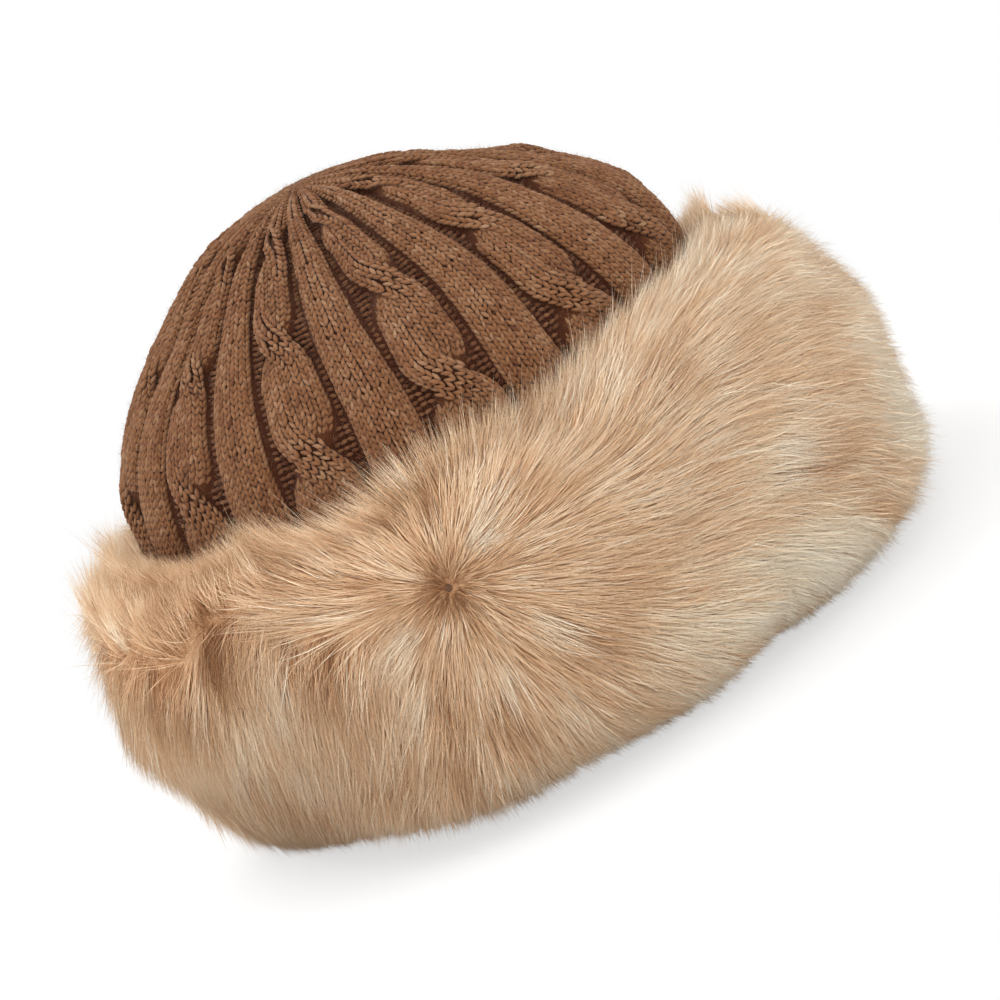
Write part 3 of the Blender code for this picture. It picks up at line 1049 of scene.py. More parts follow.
# Tone of the fur from 0 to 1, and what the right-hand side, the lip and the whorl add to it
FUR_TONE = 0.50
RIGHT_TONE = 0.09
# Painted shade: the fur is darker along the lip at the top of the cuff
LIP_SHADE = -0.03
# The whorl is darker partly because its roots show and partly from painted shade in its dimple
WHORL_ROOTS_AND_SHADE = -0.48
WHORL_RADIUS = 0.0062
# Paler and darker patches, mostly the fur's own mottling, with some painted light and shade marked below:
# along the cuff and up from the tack, their reach both ways, and change of tone
FUR_PATCHES = (
    (-0.070, 0.003, 0.017, 0.009, 0.36),
    (-0.089, -0.043, 0.014, 0.008, -0.24),
    (-0.039, 0.002, 0.013, 0.005, -0.26),
    (-0.021, -0.033, 0.018, 0.013, -0.10),
    (-0.026, 0.020, 0.018, 0.006, -0.15),
    (-0.022, 0.004, 0.012, 0.004, 0.18),
    (0.010, 0.018, 0.006, 0.005, -0.26),
    (0.103, -0.017, 0.012, 0.007, 0.40),
    (0.116, -0.029, 0.012, 0.009, -0.26),
    # Partly the fur's pale colour, partly painted light low on the right where the lamps reach little
    (0.100, -0.054, 0.028, 0.016, 0.42),
    (0.128, -0.048, 0.011, 0.012, -0.08),
    (0.150, -0.015, 0.017, 0.016, -0.12),
    # Partly the fur's pale colour, partly painted light at the right where the lamps reach little
    (0.176, -0.036, 0.018, 0.034, 0.38),
    (-0.073, 0.015, 0.015, 0.004, -0.26),
    (-0.110, 0.010, 0.007, 0.005, -0.24),
    (0.045, 0.029, 0.026, 0.011, 0.10),
    # Partly the fur's pale colour, partly painted light low on the right where the lamps reach little
    (0.060, -0.053, 0.034, 0.016, 0.20),
    (-0.085, -0.030, 0.045, 0.020, 0.08),
    (-0.150, 0.020, 0.016, 0.013, 0.08),
    (0.135, 0.025, 0.032, 0.011, 0.06),
    # This and the next are painted shade: darker along the lip at the left
    (-0.065, 0.026, 0.040, 0.009, -0.12),
    (-0.105, 0.027, 0.050, 0.017, -0.28),
)


def smooth_line(points, number):
    """Even steps along a smooth curve through these points."""
    points = np.asarray(points, float)
    padded = np.concatenate((2 * points[:1] - points[1:2], points, 2 * points[-1:] - points[-2:-1]))
    fine = []
    for index in range(len(points) - 1):
        before, start, end, after = padded[index : index + 4]
        step = np.linspace(0.0, 1.0, 24, endpoint=False)[:, None]
        fine.append(
            0.5
            * (
                2 * start
                + (end - before) * step
                + (2 * before - 5 * start + 4 * end - after) * step**2
                + (3 * start - before - 3 * end + after) * step**3
            )
        )
    fine = np.concatenate((*fine, points[-1:]))
    return even_line(fine, number)


def even_line(points, number):
    points = np.asarray(points, float)
    along = np.concatenate(([0.0], np.cumsum(np.linalg.norm(np.diff(points, axis=0), axis=1))))
    places = np.linspace(0.0, along[-1], number)
    return np.stack([np.interp(places, along, points[:, axis]) for axis in range(points.shape[1])], -1)


class Pelt:
    """The hide of the cuff: where its fur is rooted and which way it is brushed."""

    STEPS = 240
    # Lumps round the hide, and the rise where distances round it are measured
    LUMPS = 6.0
    ROUND_RISE = 0.031
    # Distances down the hide over which the lip and its top fade, and distances up from its end over which
    # the rim and its edge come in
    LIP_DOWN = (0.010, 0.042)
    TOP_DOWN = (0.006, 0.022)
    RIM_UP = (0.060, 0.030)
    EDGE_UP = (0.030, 0.012)
    # The fur at the left puffs up over the parting and hangs below it: how far left of the tack that starts,
    # is whole, fades and is gone, how far down the puff goes and the hang comes, and the puff's bearings
    PUFF_LEFT = (0.045, 0.085, 0.145, 0.175)
    PUFF_DOWN = (0.030, 0.046)
    PUFF_BEARINGS = (120.0, 150.0)
    HANG_LEFT = (0.040, 0.090, 0.155, 0.188)
    HANG_DOWN = (0.040, 0.070)
    # The fur at the right lies neat: how much lift and frizz it loses, at what turn and over what reach
    NEAT_LIFT = (0.10, 5.0, 28.0)
    NEAT_FRIZZ = (0.55, 8.0, 26.0)
    # Length of the hair in the whorl as a share of the longest, and what is added over distances from it
    WHORL_LENGTH = 0.30
    ADDED_LENGTHS = ((0.20, 0.002, 0.010), (0.50, 0.006, 0.034))
    # Shares of its length that the hair loses at the lip, at the rim and in the puff
    LIP_LOSS, RIM_LOSS, PUFF_LOSS = 0.28, 0.60, 0.46
    # Most hairs for one where they are longest
    MOST_THICK = 2.4

    def __init__(self, crown, cuff):
        self.crown = crown
        self.cuff = cuff
        self.line = smooth_line(HIDE_PROFILE, self.STEPS)
        steps = np.linalg.norm(np.diff(self.line, axis=0), axis=1)
        self.down = np.concatenate(([0.0], np.cumsum(steps)))
        self.end = self.down[-1]
        outside = self.line[:, 0] > 0.02
        self.tack_down = float(np.interp(-cuff.tack_height, -self.line[outside, 1], self.down[outside]))
        self.round = crown.radius + self.ROUND_RISE

    def tack(self, turn):
        """Turn of the tack of the strip that this place is on."""
        return self.cuff.tack_turn + np.where(turn % FULL_TURN < math.pi, 0.0, math.pi)

    def from_tack(self, turn, down):
        """Distances from the strip's tack: along the cuff to the right, and up."""
        return wrapped(turn - self.tack(turn)) * self.round, self.tack_down - down

    def place(self, turn, down):
        cuff, crown = self.cuff, self.crown
        rise, height = (np.interp(down, self.down, self.line[:, axis]) for axis in range(2))
        across, up = self.from_tack(turn, down)
        bulge = np.sin(np.pi * np.clip(height / cuff.height, 0.0, 1.0))
        lump = cuff.lump * np.sin(self.LUMPS * turn)
        for swell, middle, reach, heights in SWELLS:
            lump = lump + swell * bell(turn, middle, reach) * between(height, *heights)
        pull = cuff.dimple_depth * np.exp(-(across**2 + up**2) / cuff.dimple_radius**2)
        from_rim = np.clip((rise - HIDE_PROFILE[-1][0]) / WHOLE_TUCK, 0.0, 1.0)
        tuck = bells(turn, LOW_TUCK) * (1.0 - eased(height, *LOW_TUCK_HEIGHTS)) * from_rim
        high_tuck = bells(turn, HIGH_TUCK) * eased(height, *HIGH_TUCK_HEIGHTS)
        tuck = tuck + high_tuck * eased(rise, *HIGH_TUCK_RISE)
        hitch = bells(turn, HITCHES) * (1.0 - eased(height, *HITCH_HEIGHTS)) * from_rim
        lip = (LIP_RISE + bells(turn, LIP_CHANGES)) * eased(height, *LIP_HEIGHTS)
        return on_plan(crown, crown.radius + rise - tuck + (lump - pull) * bulge, turn, height + lip + hitch)

    def axes(self, turn, down):
        """Place, outward normal, and the directions to the right and up the hide."""
        step = 0.0008
        aside = step / self.round
        right = unit(self.place(turn + aside, down) - self.place(turn - aside, down))
        above = np.clip(down - step, 0.0, self.end)
        below = np.clip(down + step, 0.0, self.end)
        up = unit(self.place(turn, above) - self.place(turn, below))
        return self.place(turn, down), unit(np.cross(right, up)), right, up

    def bearing(self, turn, down):
        """Bearing, distance and level distance from the whorl, with the comb's tilt taken out."""
        across, up = self.from_tack(turn, down)
        across, up = across - self.cuff.whorl_right, up - self.cuff.whorl_up
        tilt = self.cuff.comb_tilt
        level = across * math.cos(tilt) - up * math.sin(tilt)
        plumb = across * math.sin(tilt) + up * math.cos(tilt)
        far = np.hypot(across, up)
        parting = math.radians(STROKES[0][0])
        wave = np.radians(np.interp(far, *zip(*PARTING)) - STROKES[-1][0])
        ragged = mottle(np.stack((across, up, 0.0 * up), -1), 0.014, 12)
        wave = wave + 0.05 * ragged * eased(-level, 0.015, 0.045)
        return (np.arctan2(plumb, level) - wave - parting) % FULL_TURN + parting, far, level

    def stroke(self, turn, down, bearing, far):
        """Direction of the hair on the hide, as shares to the right and up."""
        table = np.radians(np.array(STROKES, float))
        combed = np.interp(bearing, table[:, 0], table[:, 1])
        for change, start, whole, middle, reach in STROKE_CHANGES:
            near = hump(np.degrees(bearing), middle, reach)
            combed = combed + math.radians(change) * eased(far, start, whole) * near
        combed = combed + 0.30 * mottle(self.place(turn, down), 0.030, 9) * eased(far, 0.012, 0.040)
        share_combed = eased(far, 0.008, 0.030)
        level = (1.0 - share_combed) * np.cos(bearing) + share_combed * np.cos(combed)
        plumb = (1.0 - share_combed) * np.sin(bearing) + share_combed * np.sin(combed)
        tilt = self.cuff.comb_tilt
        over = level * math.cos(tilt) + plumb * math.sin(tilt)
        upward = plumb * math.cos(tilt) - level * math.sin(tilt)
        from_join = wrapped(turn, math.pi) * self.round
        joined = hump(from_join, 0.0, JOIN_REACH) * eased(down, *JOIN_DOWN)
        return [way + joined * (at_join - way) for way, at_join in zip((over, upward), JOIN_STROKE)]

    @staticmethod
    def flow(down, place, right, up, over, upward):
        """Direction of the hair, which stands up along the top of the lip."""
        top = 1.0 - eased(down, *Pelt.TOP_DOWN)
        stand = unit(np.array((0.0, 0.0, 1.0)) + 0.25 * unit(place * (1.0, 1.0, 0.0)))
        climbing = upward + top * (np.maximum(upward, 0.35) - upward)
        rising = up * (1.0 - top[..., None]) + stand * top[..., None]
        return unit(right * over[..., None] + rising * climbing[..., None])

    @staticmethod
    def shade(place, across, climb, far, level, lip):
        """Tone of the hair: paler to the right, darker at the lip as painted shade, dark in the whorl partly
        as painted shade, and patchy.
        """
        to_the_right = eased(level, -0.02, 0.09) * (1.0 - eased(across, 0.17, 0.235))
        shade = FUR_TONE + RIGHT_TONE * to_the_right + LIP_SHADE * lip
        shade = shade + WHORL_ROOTS_AND_SHADE * hump(far, 0.0, WHORL_RADIUS)
        for patch_across, patch_up, reach, height, change in FUR_PATCHES:
            shade = shade + change * hump(across, patch_across, reach) * hump(climb, patch_up, height)
        return shade + 0.10 * mottle(place, 0.022, 1) + 0.06 * mottle(place, 0.008, 2)

    def coat(self, turn, down):
        """Everything that the fur at these places follows."""
        hair = self.cuff.hair
        place, out, right, up = self.axes(turn, down)
        bearing, far, level = self.bearing(turn, down)
        across, climb = self.from_tack(turn, down)
        over, upward = self.stroke(turn, down, bearing, far)
        lip = 1.0 - eased(down, *self.LIP_DOWN)
        rim, edge = (eased(down, *(self.end - np.array(up_from))) for up_from in (self.RIM_UP, self.EDGE_UP))
        puff = between(-across, *self.PUFF_LEFT) * (1.0 - eased(down, *self.PUFF_DOWN))
        puff = puff * eased(np.degrees(bearing), *self.PUFF_BEARINGS)
        hang = between(-across, *self.HANG_LEFT) * eased(down, *self.HANG_DOWN)
        # Where the fur is short it is thick, except at the edge of the rim
        added = sum(more * eased(far, start, end) for more, start, end in self.ADDED_LENGTHS)
        long = hair * (self.WHORL_LENGTH + added) * (1.0 - self.LIP_LOSS * lip) * (1.0 - self.RIM_LOSS * rim)
        long = long * (1.0 - self.PUFF_LOSS * puff)
        thick = np.clip(hair / long, 1.0, self.MOST_THICK) * (1.0 - 0.5 * edge)
        # It stands up and goes all ways in the whorl
        lift = 0.40 + 0.45 * (1.0 - eased(far, 0.003, 0.016)) + 0.05 * lip - 0.22 * hang
        lift = lift - bells(turn, [self.NEAT_LIFT])
        frizz = 1.0 + 0.5 * lip + 3.0 * (1.0 - eased(far, 0.002, 0.008)) + 2.2 * puff
        frizz = frizz * (1.0 - bells(turn, [self.NEAT_FRIZZ]))
        flow = self.flow(down, place, right, up, over, upward)
        shade = self.shade(place, across, climb, far, level, lip)
        grown = {"flow": flow, "long": long, "lift": lift, "shade": shade, "thick": thick, "frizz": frizz}
        return place, out, grown


def add_grown(skin, grown):
    """Gives a skin what the fur tree needs to know at each of its points."""
    for name, values in grown.items():
        add_attribute(skin, name, "FLOAT" if values.ndim == 1 else "FLOAT_VECTOR", values)


def pelt_skin(pelt, layer, start, end, columns, rows=74):
    """A patch of the hide as a mesh that a layer of the fur grows on."""
    turns, downs = np.linspace(start, end, columns + 1), np.linspace(0.0, pelt.end, rows)
    turn, down = grid(turns, downs)
    place, out, grown = pelt.coat(turn.ravel(), down.ravel())
    if layer == "guard_hair":
        grown["shade"] = grown["shade"] + 0.08
    if layer == "wisps":
        lip = 1.0 - eased(down.ravel(), 0.004, 0.034)
        grown["thick"] = 0.25 + 2.6 * lip
        grown["long"] = grown["long"] * (0.92 + 0.18 * lip)
        grown["lift"] = 1.2 * grown["lift"]
        # Partly painted light: the wisps are paler, as pale tips and for the light that shines through them
        grown["shade"] = grown["shade"] + 0.20
    skin = sheet_mesh(layer, place.reshape(*turn.shape, 3), out)
    add_grown(skin, grown)
    return skin


def strand_inputs(crown, material, inputs):
    """Inputs of the fur tree that most layers share, with those of this layer."""
    shared = {"Seed": 0, "Lock Pull": 0.0, "Lock Tone": 0.0, "Floor": 0.0006, "Fur": material}
    shared.update({"Knit Radius": crown.radius + 0.001, "Knit Oval": crown.oval})
    shared.update({"Wall Height": crown.wall_height, "Dome Rise": crown.dome_rise})
    return {**shared, **inputs}


def pelt_locks(pelt, rng):
    """Points that the tips of the fur draw together to."""
    spacing = pelt.cuff.lock
    columns, rows = round(FULL_TURN * pelt.round / spacing), round(pelt.end / spacing)
    column, row = grid(np.arange(columns), np.arange(rows))
    turn = (column + 0.5 * (row % 2) + rng.uniform(-0.38, 0.38, column.shape)) * FULL_TURN / columns
    down = (row + 0.5 + rng.uniform(-0.38, 0.38, row.shape)) * pelt.end / rows
    place = pelt.place(turn.ravel(), down.ravel())
    return point_mesh("locks", place, lot=rng.normal(0.0, 1.0, len(place)))


def fur_tree():
    """Tapered strands on a hide, swept along its flow and drawn into locks."""
    numbers = ["Density", "Width", "Bend", "Stray", "Lock Pull", "Lock Tone", "Strand Tone"]
    numbers += ["Floor", "Knit Radius", "Knit Oval", "Wall Height", "Dome Rise"]
    kinds = {"Geometry": ["Hide"], "Object": ["Locks"], "Int": ["Seed", "Segments"], "Float": numbers}
    tree = new_tree("fur", "Strands", {**kinds, "Material": ["Fur"]})
    place = Wire.node(tree, "GeometryNodeInputPosition")
    points, normal = scattered(tree)
    locks = Wire.node(tree, "GeometryNodeObjectInfo", None, {"Object": given(tree, "Locks")}, "Geometry")
    sockets = {"Geometry": locks, "Sample Position": place}
    nearest = Wire.node(tree, "GeometryNodeSampleNearest", None, sockets)

    def luck(low, high, number):
        sockets = {"Min": low, "Max": high, "Seed": number}
        return Wire.node(tree, "FunctionNodeRandomValue", {"data_type": "FLOAT"}, sockets)

    def of_lock(kind, value):
        sockets = {"Geometry": locks, "Value": value, "Index": nearest}
        return Wire.node(tree, "GeometryNodeSampleIndex", {"data_type": kind}, sockets)

    lot = of_lock("FLOAT", named(tree, "lot"))
    flow = named(tree, "flow", "FLOAT_VECTOR")
    side = flow.vector_maths("CROSS_PRODUCT", normal).vector_maths("NORMALIZE")
    stray = given(tree, "Stray") * named(tree, "frizz")
    way = flow + side * (luck(-1.0, 1.0, 11) * stray) + normal * (luck(-0.4, 0.6, 12) * stray)
    long = named(tree, "long") * luck(0.72, 1.12, 13)
    vectors = {
        "root": place,
        "sweep": way.vector_maths("NORMALIZE") * long,
        "rise": normal * (long * named(tree, "lift") * luck(0.6, 1.35, 14)),
        "gather": (of_lock("FLOAT_VECTOR", place) - place) * given(tree, "Lock Pull"),
        "girth": side * given(tree, "Width"),
        "crest": normal * given(tree, "Width"),
        "curl": side * (long * (lot * 0.09 + luck(-0.06, 0.06, 16))),
    }
    for name, value in vectors.items():
        points = stored(tree, points, name, value, "FLOAT_VECTOR")
    tone = named(tree, "shade") + lot * given(tree, "Lock Tone")
    tone = tone + luck(-1.0, 1.0, 15) * given(tree, "Strand Tone")
    points = stored(tree, points, "tone", Wire.node(tree, "ShaderNodeClamp", None, {"Value": tone}))
    mesh = laid(tree, points, spike(tree, place))

    root, sweep, rise, gather, girth, crest, curl = (named(tree, name, "FLOAT_VECTOR") for name in vectors)
    along = named(tree, "along")
    full = along * 2.2 + 0.45
    line = root + sweep * along + rise * (along * (1.0 - along * given(tree, "Bend")))
    line = line + gather * along**1.3 + curl * (along * along)
    line = line + girth * (named(tree, "across") * full) + crest * (named(tree, "over") * full)
    sockets = {"Geometry": mesh, "Position": kept_clear(tree, line)}
    finish_tree(tree, Wire.node(tree, "GeometryNodeSetPosition", None, sockets), given(tree, "Fur"))
    return tree


def scattered(tree):
    """Points for the roots of the strands, and the direction out of the hide there."""
    density = given(tree, "Density") * named(tree, "thick")
    sockets = {"Mesh": given(tree, "Hide"), "Density": density, "Seed": given(tree, "Seed")}
    method = {"distribute_method": "RANDOM"}
    points = Wire.node(tree, "GeometryNodeDistributePointsOnFaces", method, sockets)
    return points, Wire(tree, points.socket.node.outputs["Normal"])


def spike(tree, place):
    """A three-sided cone that keeps its own measures, to be bent into a strand."""
    sockets = {"Vertices": 3, "Side Segments": given(tree, "Segments"), "Radius Top": 0.0}
    sockets.update({"Radius Bottom": 1.0, "Depth": 1.0})
    cone = Wire.node(tree, "GeometryNodeMeshCone", {"fill_type": "NGON"}, sockets)
    across, over, along = separate(tree, place)
    measures = {"along": along, "across": across, "over": over, "side": across + over * 0.6}
    for name, value in measures.items():
        cone = stored(tree, cone, name, value)
    return cone


def kept_clear(tree, line):
    """The same places, moved so that tips lie on the floor and against the knit, and not in them."""
    east, north, height = separate(tree, line)
    climb = (height - given(tree, "Wall Height")) / given(tree, "Dome Rise")
    climb = climb.maths("MAXIMUM", 0.0).maths("MINIMUM", 1.0)
    knit = given(tree, "Knit Radius") * (1.0 - climb**1.8).maths("SQRT")
    deep = north / given(tree, "Knit Oval")
    reach = (east * east + deep * deep).maths("SQRT").maths("MAXIMUM", 0.001)
    push = (knit / reach).maths("MAXIMUM", 1.0)
    push = 1.0 + (push - 1.0) * height.maths("GREATER_THAN", 0.09)
    sockets = {"X": east * push, "Y": north * push, "Z": height.maths("MAXIMUM", given(tree, "Floor"))}
    return Wire.node(tree, "ShaderNodeCombineXYZ", None, sockets)


# Operators


class HAT_OT_stage(bpy.types.Operator):
    """Places the camera, the lamps and the floor."""

    bl_idname = "hat.stage"
    bl_label = "Stage"

    def execute(self, context):
        stage = context.scene.hat_stage
        context.scene.view_settings.view_transform = "Standard"
        level = Vector((1.0, 0.0, 0.0))
        upright = Vector((0.0, math.sin(stage.elevation), math.cos(stage.elevation)))
        towards = Vector((0.0, -math.cos(stage.elevation), math.sin(stage.elevation)))
        right = level * math.cos(stage.roll) - upright * math.sin(stage.roll)
        up = level * math.sin(stage.roll) + upright * math.cos(stage.roll)
        aim = Vector((0.0, 0.0, stage.aim_height))
        camera = bpy.data.objects.new("camera", bpy.data.cameras.new("camera"))
        camera.data.lens = stage.lens
        camera.data.sensor_width = 36.0
        spot = aim + towards * stage.distance + right * stage.right - up * stage.down
        camera.matrix_world = Matrix.Translation(spot) @ Matrix((right, up, towards)).transposed().to_4x4()
        context.scene.collection.objects.link(camera)
        context.scene.camera = camera
        ways = {
            "key": right * 0.55 + up * 0.55 + towards * 0.90,
            "fill": right * 0.05 - up * 0.45 + towards,
            "crest": up * 0.7 - right + towards * 0.1,
            "kick": right * 0.85 + up * 0.40 + towards * 0.6,
        }
        sizes = {"key": 1.0, "fill": 1.0, "crest": 0.9, "kick": 0.9}
        for name, way in ways.items():
            lamp = bpy.data.objects.new(name, bpy.data.lights.new(name, "AREA"))
            lamp.data.energy = getattr(stage, name)
            lamp.data.size = sizes[name]
            lamp.location = aim + way.normalized() * stage.lamp_distance
            lamp.rotation_euler = way.to_track_quat("Z", "Y").to_euler()
            context.scene.collection.objects.link(lamp)
        self.light_world(context.scene, stage)
        self.lay_floor(context.scene, stage)
        return {"FINISHED"}

    @staticmethod
    def seen_straight(tree):
        """1 for rays that show the background, from the camera or through a gloss or glass."""
        shown = [
            Wire.node(tree, "ShaderNodeLightPath", output=name)
            for name in ("Is Camera Ray", "Is Glossy Ray", "Is Transmission Ray")
        ]
        return shown[0].maths("MAXIMUM", shown[1]).maths("MAXIMUM", shown[2])

    def light_world(self, scene, stage):
        world = bpy.data.worlds.new("studio")
        scene.world = world
        world.use_nodes = True
        tree = world.node_tree
        tree.nodes.clear()
        strength = stage.sky + (1.0 - stage.sky) * self.seen_straight(tree)
        sockets = {"Color": (1.0, 1.0, 1.0, 1.0), "Strength": strength}
        glow = Wire.node(tree, "ShaderNodeBackground", None, sockets)
        Wire.node(tree, "ShaderNodeOutputWorld", None, {"Surface": glow})

    def lay_floor(self, scene, stage):
        """A pale floor that keeps the hat's shadow and fades to white round it."""
        steps = np.arange(96) * FULL_TURN / 96
        rim = stage.floor_radius * np.stack((np.cos(steps), np.sin(steps), 0.0 * steps), -1)
        mesh = bpy.data.meshes.new("floor")
        mesh.from_pydata(rim.tolist(), [], [tuple(range(len(steps)))])
        floor = bpy.data.objects.new("floor", mesh)
        scene.collection.objects.link(floor)
        material, tree = new_material("floor")
        far = Wire.node(tree, "ShaderNodeVectorMath", {"operation": "LENGTH"}, {0: own_place(tree)}, "Value")
        fade = ((far - stage.white_from) / (stage.white_at - stage.white_from)).maths("MAXIMUM", 0.0)
        white = stage.whiteness + (1.0 - stage.whiteness) * fade.maths("MINIMUM", 1.0)
        white = white * self.seen_straight(tree)
        pale = Wire.node(tree, "ShaderNodeBsdfDiffuse", None, {"Color": (0.93, 0.93, 0.93, 1.0)})
        sockets = {"Color": (1.0, 1.0, 1.0, 1.0), "Strength": 1.0}
        glow = Wire.node(tree, "ShaderNodeEmission", None, sockets)
        mixed = Wire.node(tree, "ShaderNodeMixShader", None, {0: white, 1: pale, 2: glow})
        Wire.node(tree, "ShaderNodeOutputMaterial", None, {"Surface": mixed})
        mesh.materials.append(material)


class HAT_OT_crown(bpy.types.Operator):
    """Knits the crown: its fabric, every stitch of its ribs and cables, its seam and its gather."""

    bl_idname = "hat.crown"
    bl_label = "Knitted crown"

    # The fabric: steps round it, from row to row, below the rows that are seen and down its inside, and how
    # far it lies behind the stitches
    ROUND_STEPS = 360
    ROW_STEP = 0.0019
    HIDDEN_STEPS = 8
    INSIDE_STEPS = 22
    BEHIND = 0.0006
    # The stitches: their pieces, their tone, its spread and its patches, and how much darker purl bumps are
    # painted, as shade in the grooves they lie in
    STITCH_PIECES = 4
    TONE, TONE_SPREAD, TONE_PATCHES, PURL_DARK = 0.50, 0.11, 0.14, 0.30
    # The back seam: the radius where it starts, its stitch, its swing to both sides and its lift
    SEAM_START = 0.030
    SEAM_STITCH = 0.0042
    SEAM_SWING = 0.0006
    SEAM_LIFT = 0.0014

    def execute(self, context):
        crown, colours = context.scene.hat_crown, context.scene.hat_colours
        knit = Knit(crown)
        self.lay_ground(crown, colours, knit)
        self.lay_stitches(colours, knit)
        self.grow_fuzz(crown, colours, knit)
        self.sew_seams(crown, colours, knit)
        return {"FINISHED"}

    def lay_ground(self, crown, colours, knit):
        """The fabric behind the stitches: its outside follows the ribs and cables, its inside is plain."""
        turns = np.arange(self.ROUND_STEPS) * FULL_TURN / self.ROUND_STEPS
        line = knit.line
        inside = Meridian(crown, -crown.thickness)
        seen = np.arange(line.from_radius(crown.hole_radius), crown.stitched_length, self.ROW_STEP)
        hidden = np.linspace(crown.stitched_length, line.along[-1], self.HIDDEN_STEPS)
        alongs = np.concatenate((seen, hidden))
        turn, along = grid(turns, alongs)
        place, out, _, _ = line.axes(crown, along, turn)
        rise = knit.ground_rise(along, turn)
        outer = place + (rise - self.BEHIND)[..., None] * out
        # Painted shade: the ground darkens towards the bottom of the grooves
        tone = eased(rise, -0.60 * crown.groove_depth, 0.0)
        alongs = np.linspace(inside.from_radius(crown.hole_radius), inside.along[-1], self.INSIDE_STEPS)
        turn, along = grid(turns, alongs)
        inner = inside.axes(crown, along, turn)[0]
        mesh = swept_mesh("knit_ground", outer, inner, True)
        tone = np.concatenate((tone, np.full(inner.shape[:2], 0.6)), axis=1)
        add_attribute(mesh, "tone", "FLOAT", tone)
        finish = ground_material("knit ground", ((0.0, colours.groove_shade_brown), (1.0, colours.rib_brown)))
        piece("knit_ground", mesh, finish, "knit", "knit_crown")

    def lay_stitches(self, colours, knit):
        """Every stitch of the ribs, the cables and the purl ground, in four pieces."""
        rng = np.random.default_rng(7)
        groups = [knit.rib_legs(rng), knit.cable_legs(rng, True), knit.cable_legs(rng, False)]
        bumps = knit.purl_bumps(rng)
        # Painted shade: purl bumps lie in the grooves and are made darker
        purl_shading = [0.0] * sum(len(group[0]) for group in groups) + [self.PURL_DARK] * len(bumps[0])
        place, heading, out, size = (np.concatenate(items) for items in zip(*groups, bumps))
        tone = self.TONE + self.TONE_SPREAD * rng.normal(0.0, 1.0, len(place))
        tone = tone + self.TONE_PATCHES * mottle(place, 0.012, 3)
        tone = np.clip(tone - np.array(purl_shading), 0.0, 1.0)
        carried_along = {"heading": heading, "out": out, "size": size, "tone": tone}
        tree = stitch_tree()
        yarn = yarn_material("yarn", colours)
        sector = np.arctan2(place[:, 1], place[:, 0]) % FULL_TURN // (FULL_TURN / self.STITCH_PIECES)
        for index in range(self.STITCH_PIECES):
            mine = sector == index
            attributes = {name: values[mine] for name, values in carried_along.items()}
            source = point_mesh("stitch points", place[mine], **attributes)
            name = f"knit_stitches_{index + 1}"
            mesh = grown_mesh(name, source, tree, Sides=6, Rings=3, Yarn=yarn)
            piece(name, mesh, yarn, "knit")

    def grow_fuzz(self, crown, colours, knit):
        """Short loose fibres all over the stitches."""
        rng = np.random.default_rng(5)
        turns = np.linspace(0.0, FULL_TURN, 241)
        alongs = np.linspace(knit.line.from_radius(crown.hole_radius), crown.stitched_length, 80)
        turn, along = grid(turns, alongs)
        place, out, down, right = knit.line.axes(crown, along, turn)
        place = place + knit.ground_rise(along, turn)[..., None] * out
        bearing = rng.uniform(0.0, FULL_TURN, turn.shape)[..., None]
        skin = sheet_mesh("fuzz skin", place, out)
        grown = {"long": 0.0024, "lift": 0.9, "shade": 0.62, "thick": 1.0, "frizz": 1.0}
        grown = {name: np.full(turn.size, value) for name, value in grown.items()}
        add_grown(skin, {"flow": np.cos(bearing) * right + np.sin(bearing) * down, **grown})
        fuzz = yarn_material("fuzz", colours)
        inputs = {"Density": crown.fuzz, "Segments": 1, "Width": 0.0001, "Bend": 0.2, "Stray": 0.9}
        inputs.update({"Strand Tone": 0.3, "Knit Radius": 0.001})
        mesh = grown_mesh("knit_fuzz", skin, fur_tree(), **strand_inputs(crown, fuzz, inputs))
        piece("knit_fuzz", mesh, fuzz, "knit")

    def sew_seams(self, crown, colours, knit):
        """The yarn that gathers the apex, and the yarn of the back seam in its purl groove."""
        finish = thread_material("seam yarn", colours.seam_brown, 0.0012)
        around = np.arange(72) * FULL_TURN / 72
        middle = crown.hole_radius - 1.5 * crown.gather_yarn
        radius = middle + 0.25 * crown.gather_yarn * np.cos(6.0 * around)
        height = crown.wall_height + crown.dome_rise - crown.thickness / 2
        ring = on_plan(crown, radius, around, height + 0.5 * crown.gather_yarn * np.sin(6.0 * around))
        sewn("crown_gather_yarn", [(ring, True)], crown.gather_yarn, finish, "yarn")

        line = knit.line
        dome_end = float(np.interp(-crown.wall_height, -line.height, line.along))
        along = np.linspace(line.from_radius(self.SEAM_START), dome_end, 140)
        swing = self.SEAM_SWING * np.sin(along / self.SEAM_STITCH * FULL_TURN)
        place, out, _, right = line.axes(crown, along, np.full_like(along, BACK))
        rise = knit.depth(along, 0.0 * along) + self.SEAM_LIFT
        path = place + rise[:, None] * out + swing[:, None] * right
        sewn("crown_back_seam", [(path, False)], crown.seam_yarn, finish, "yarn")


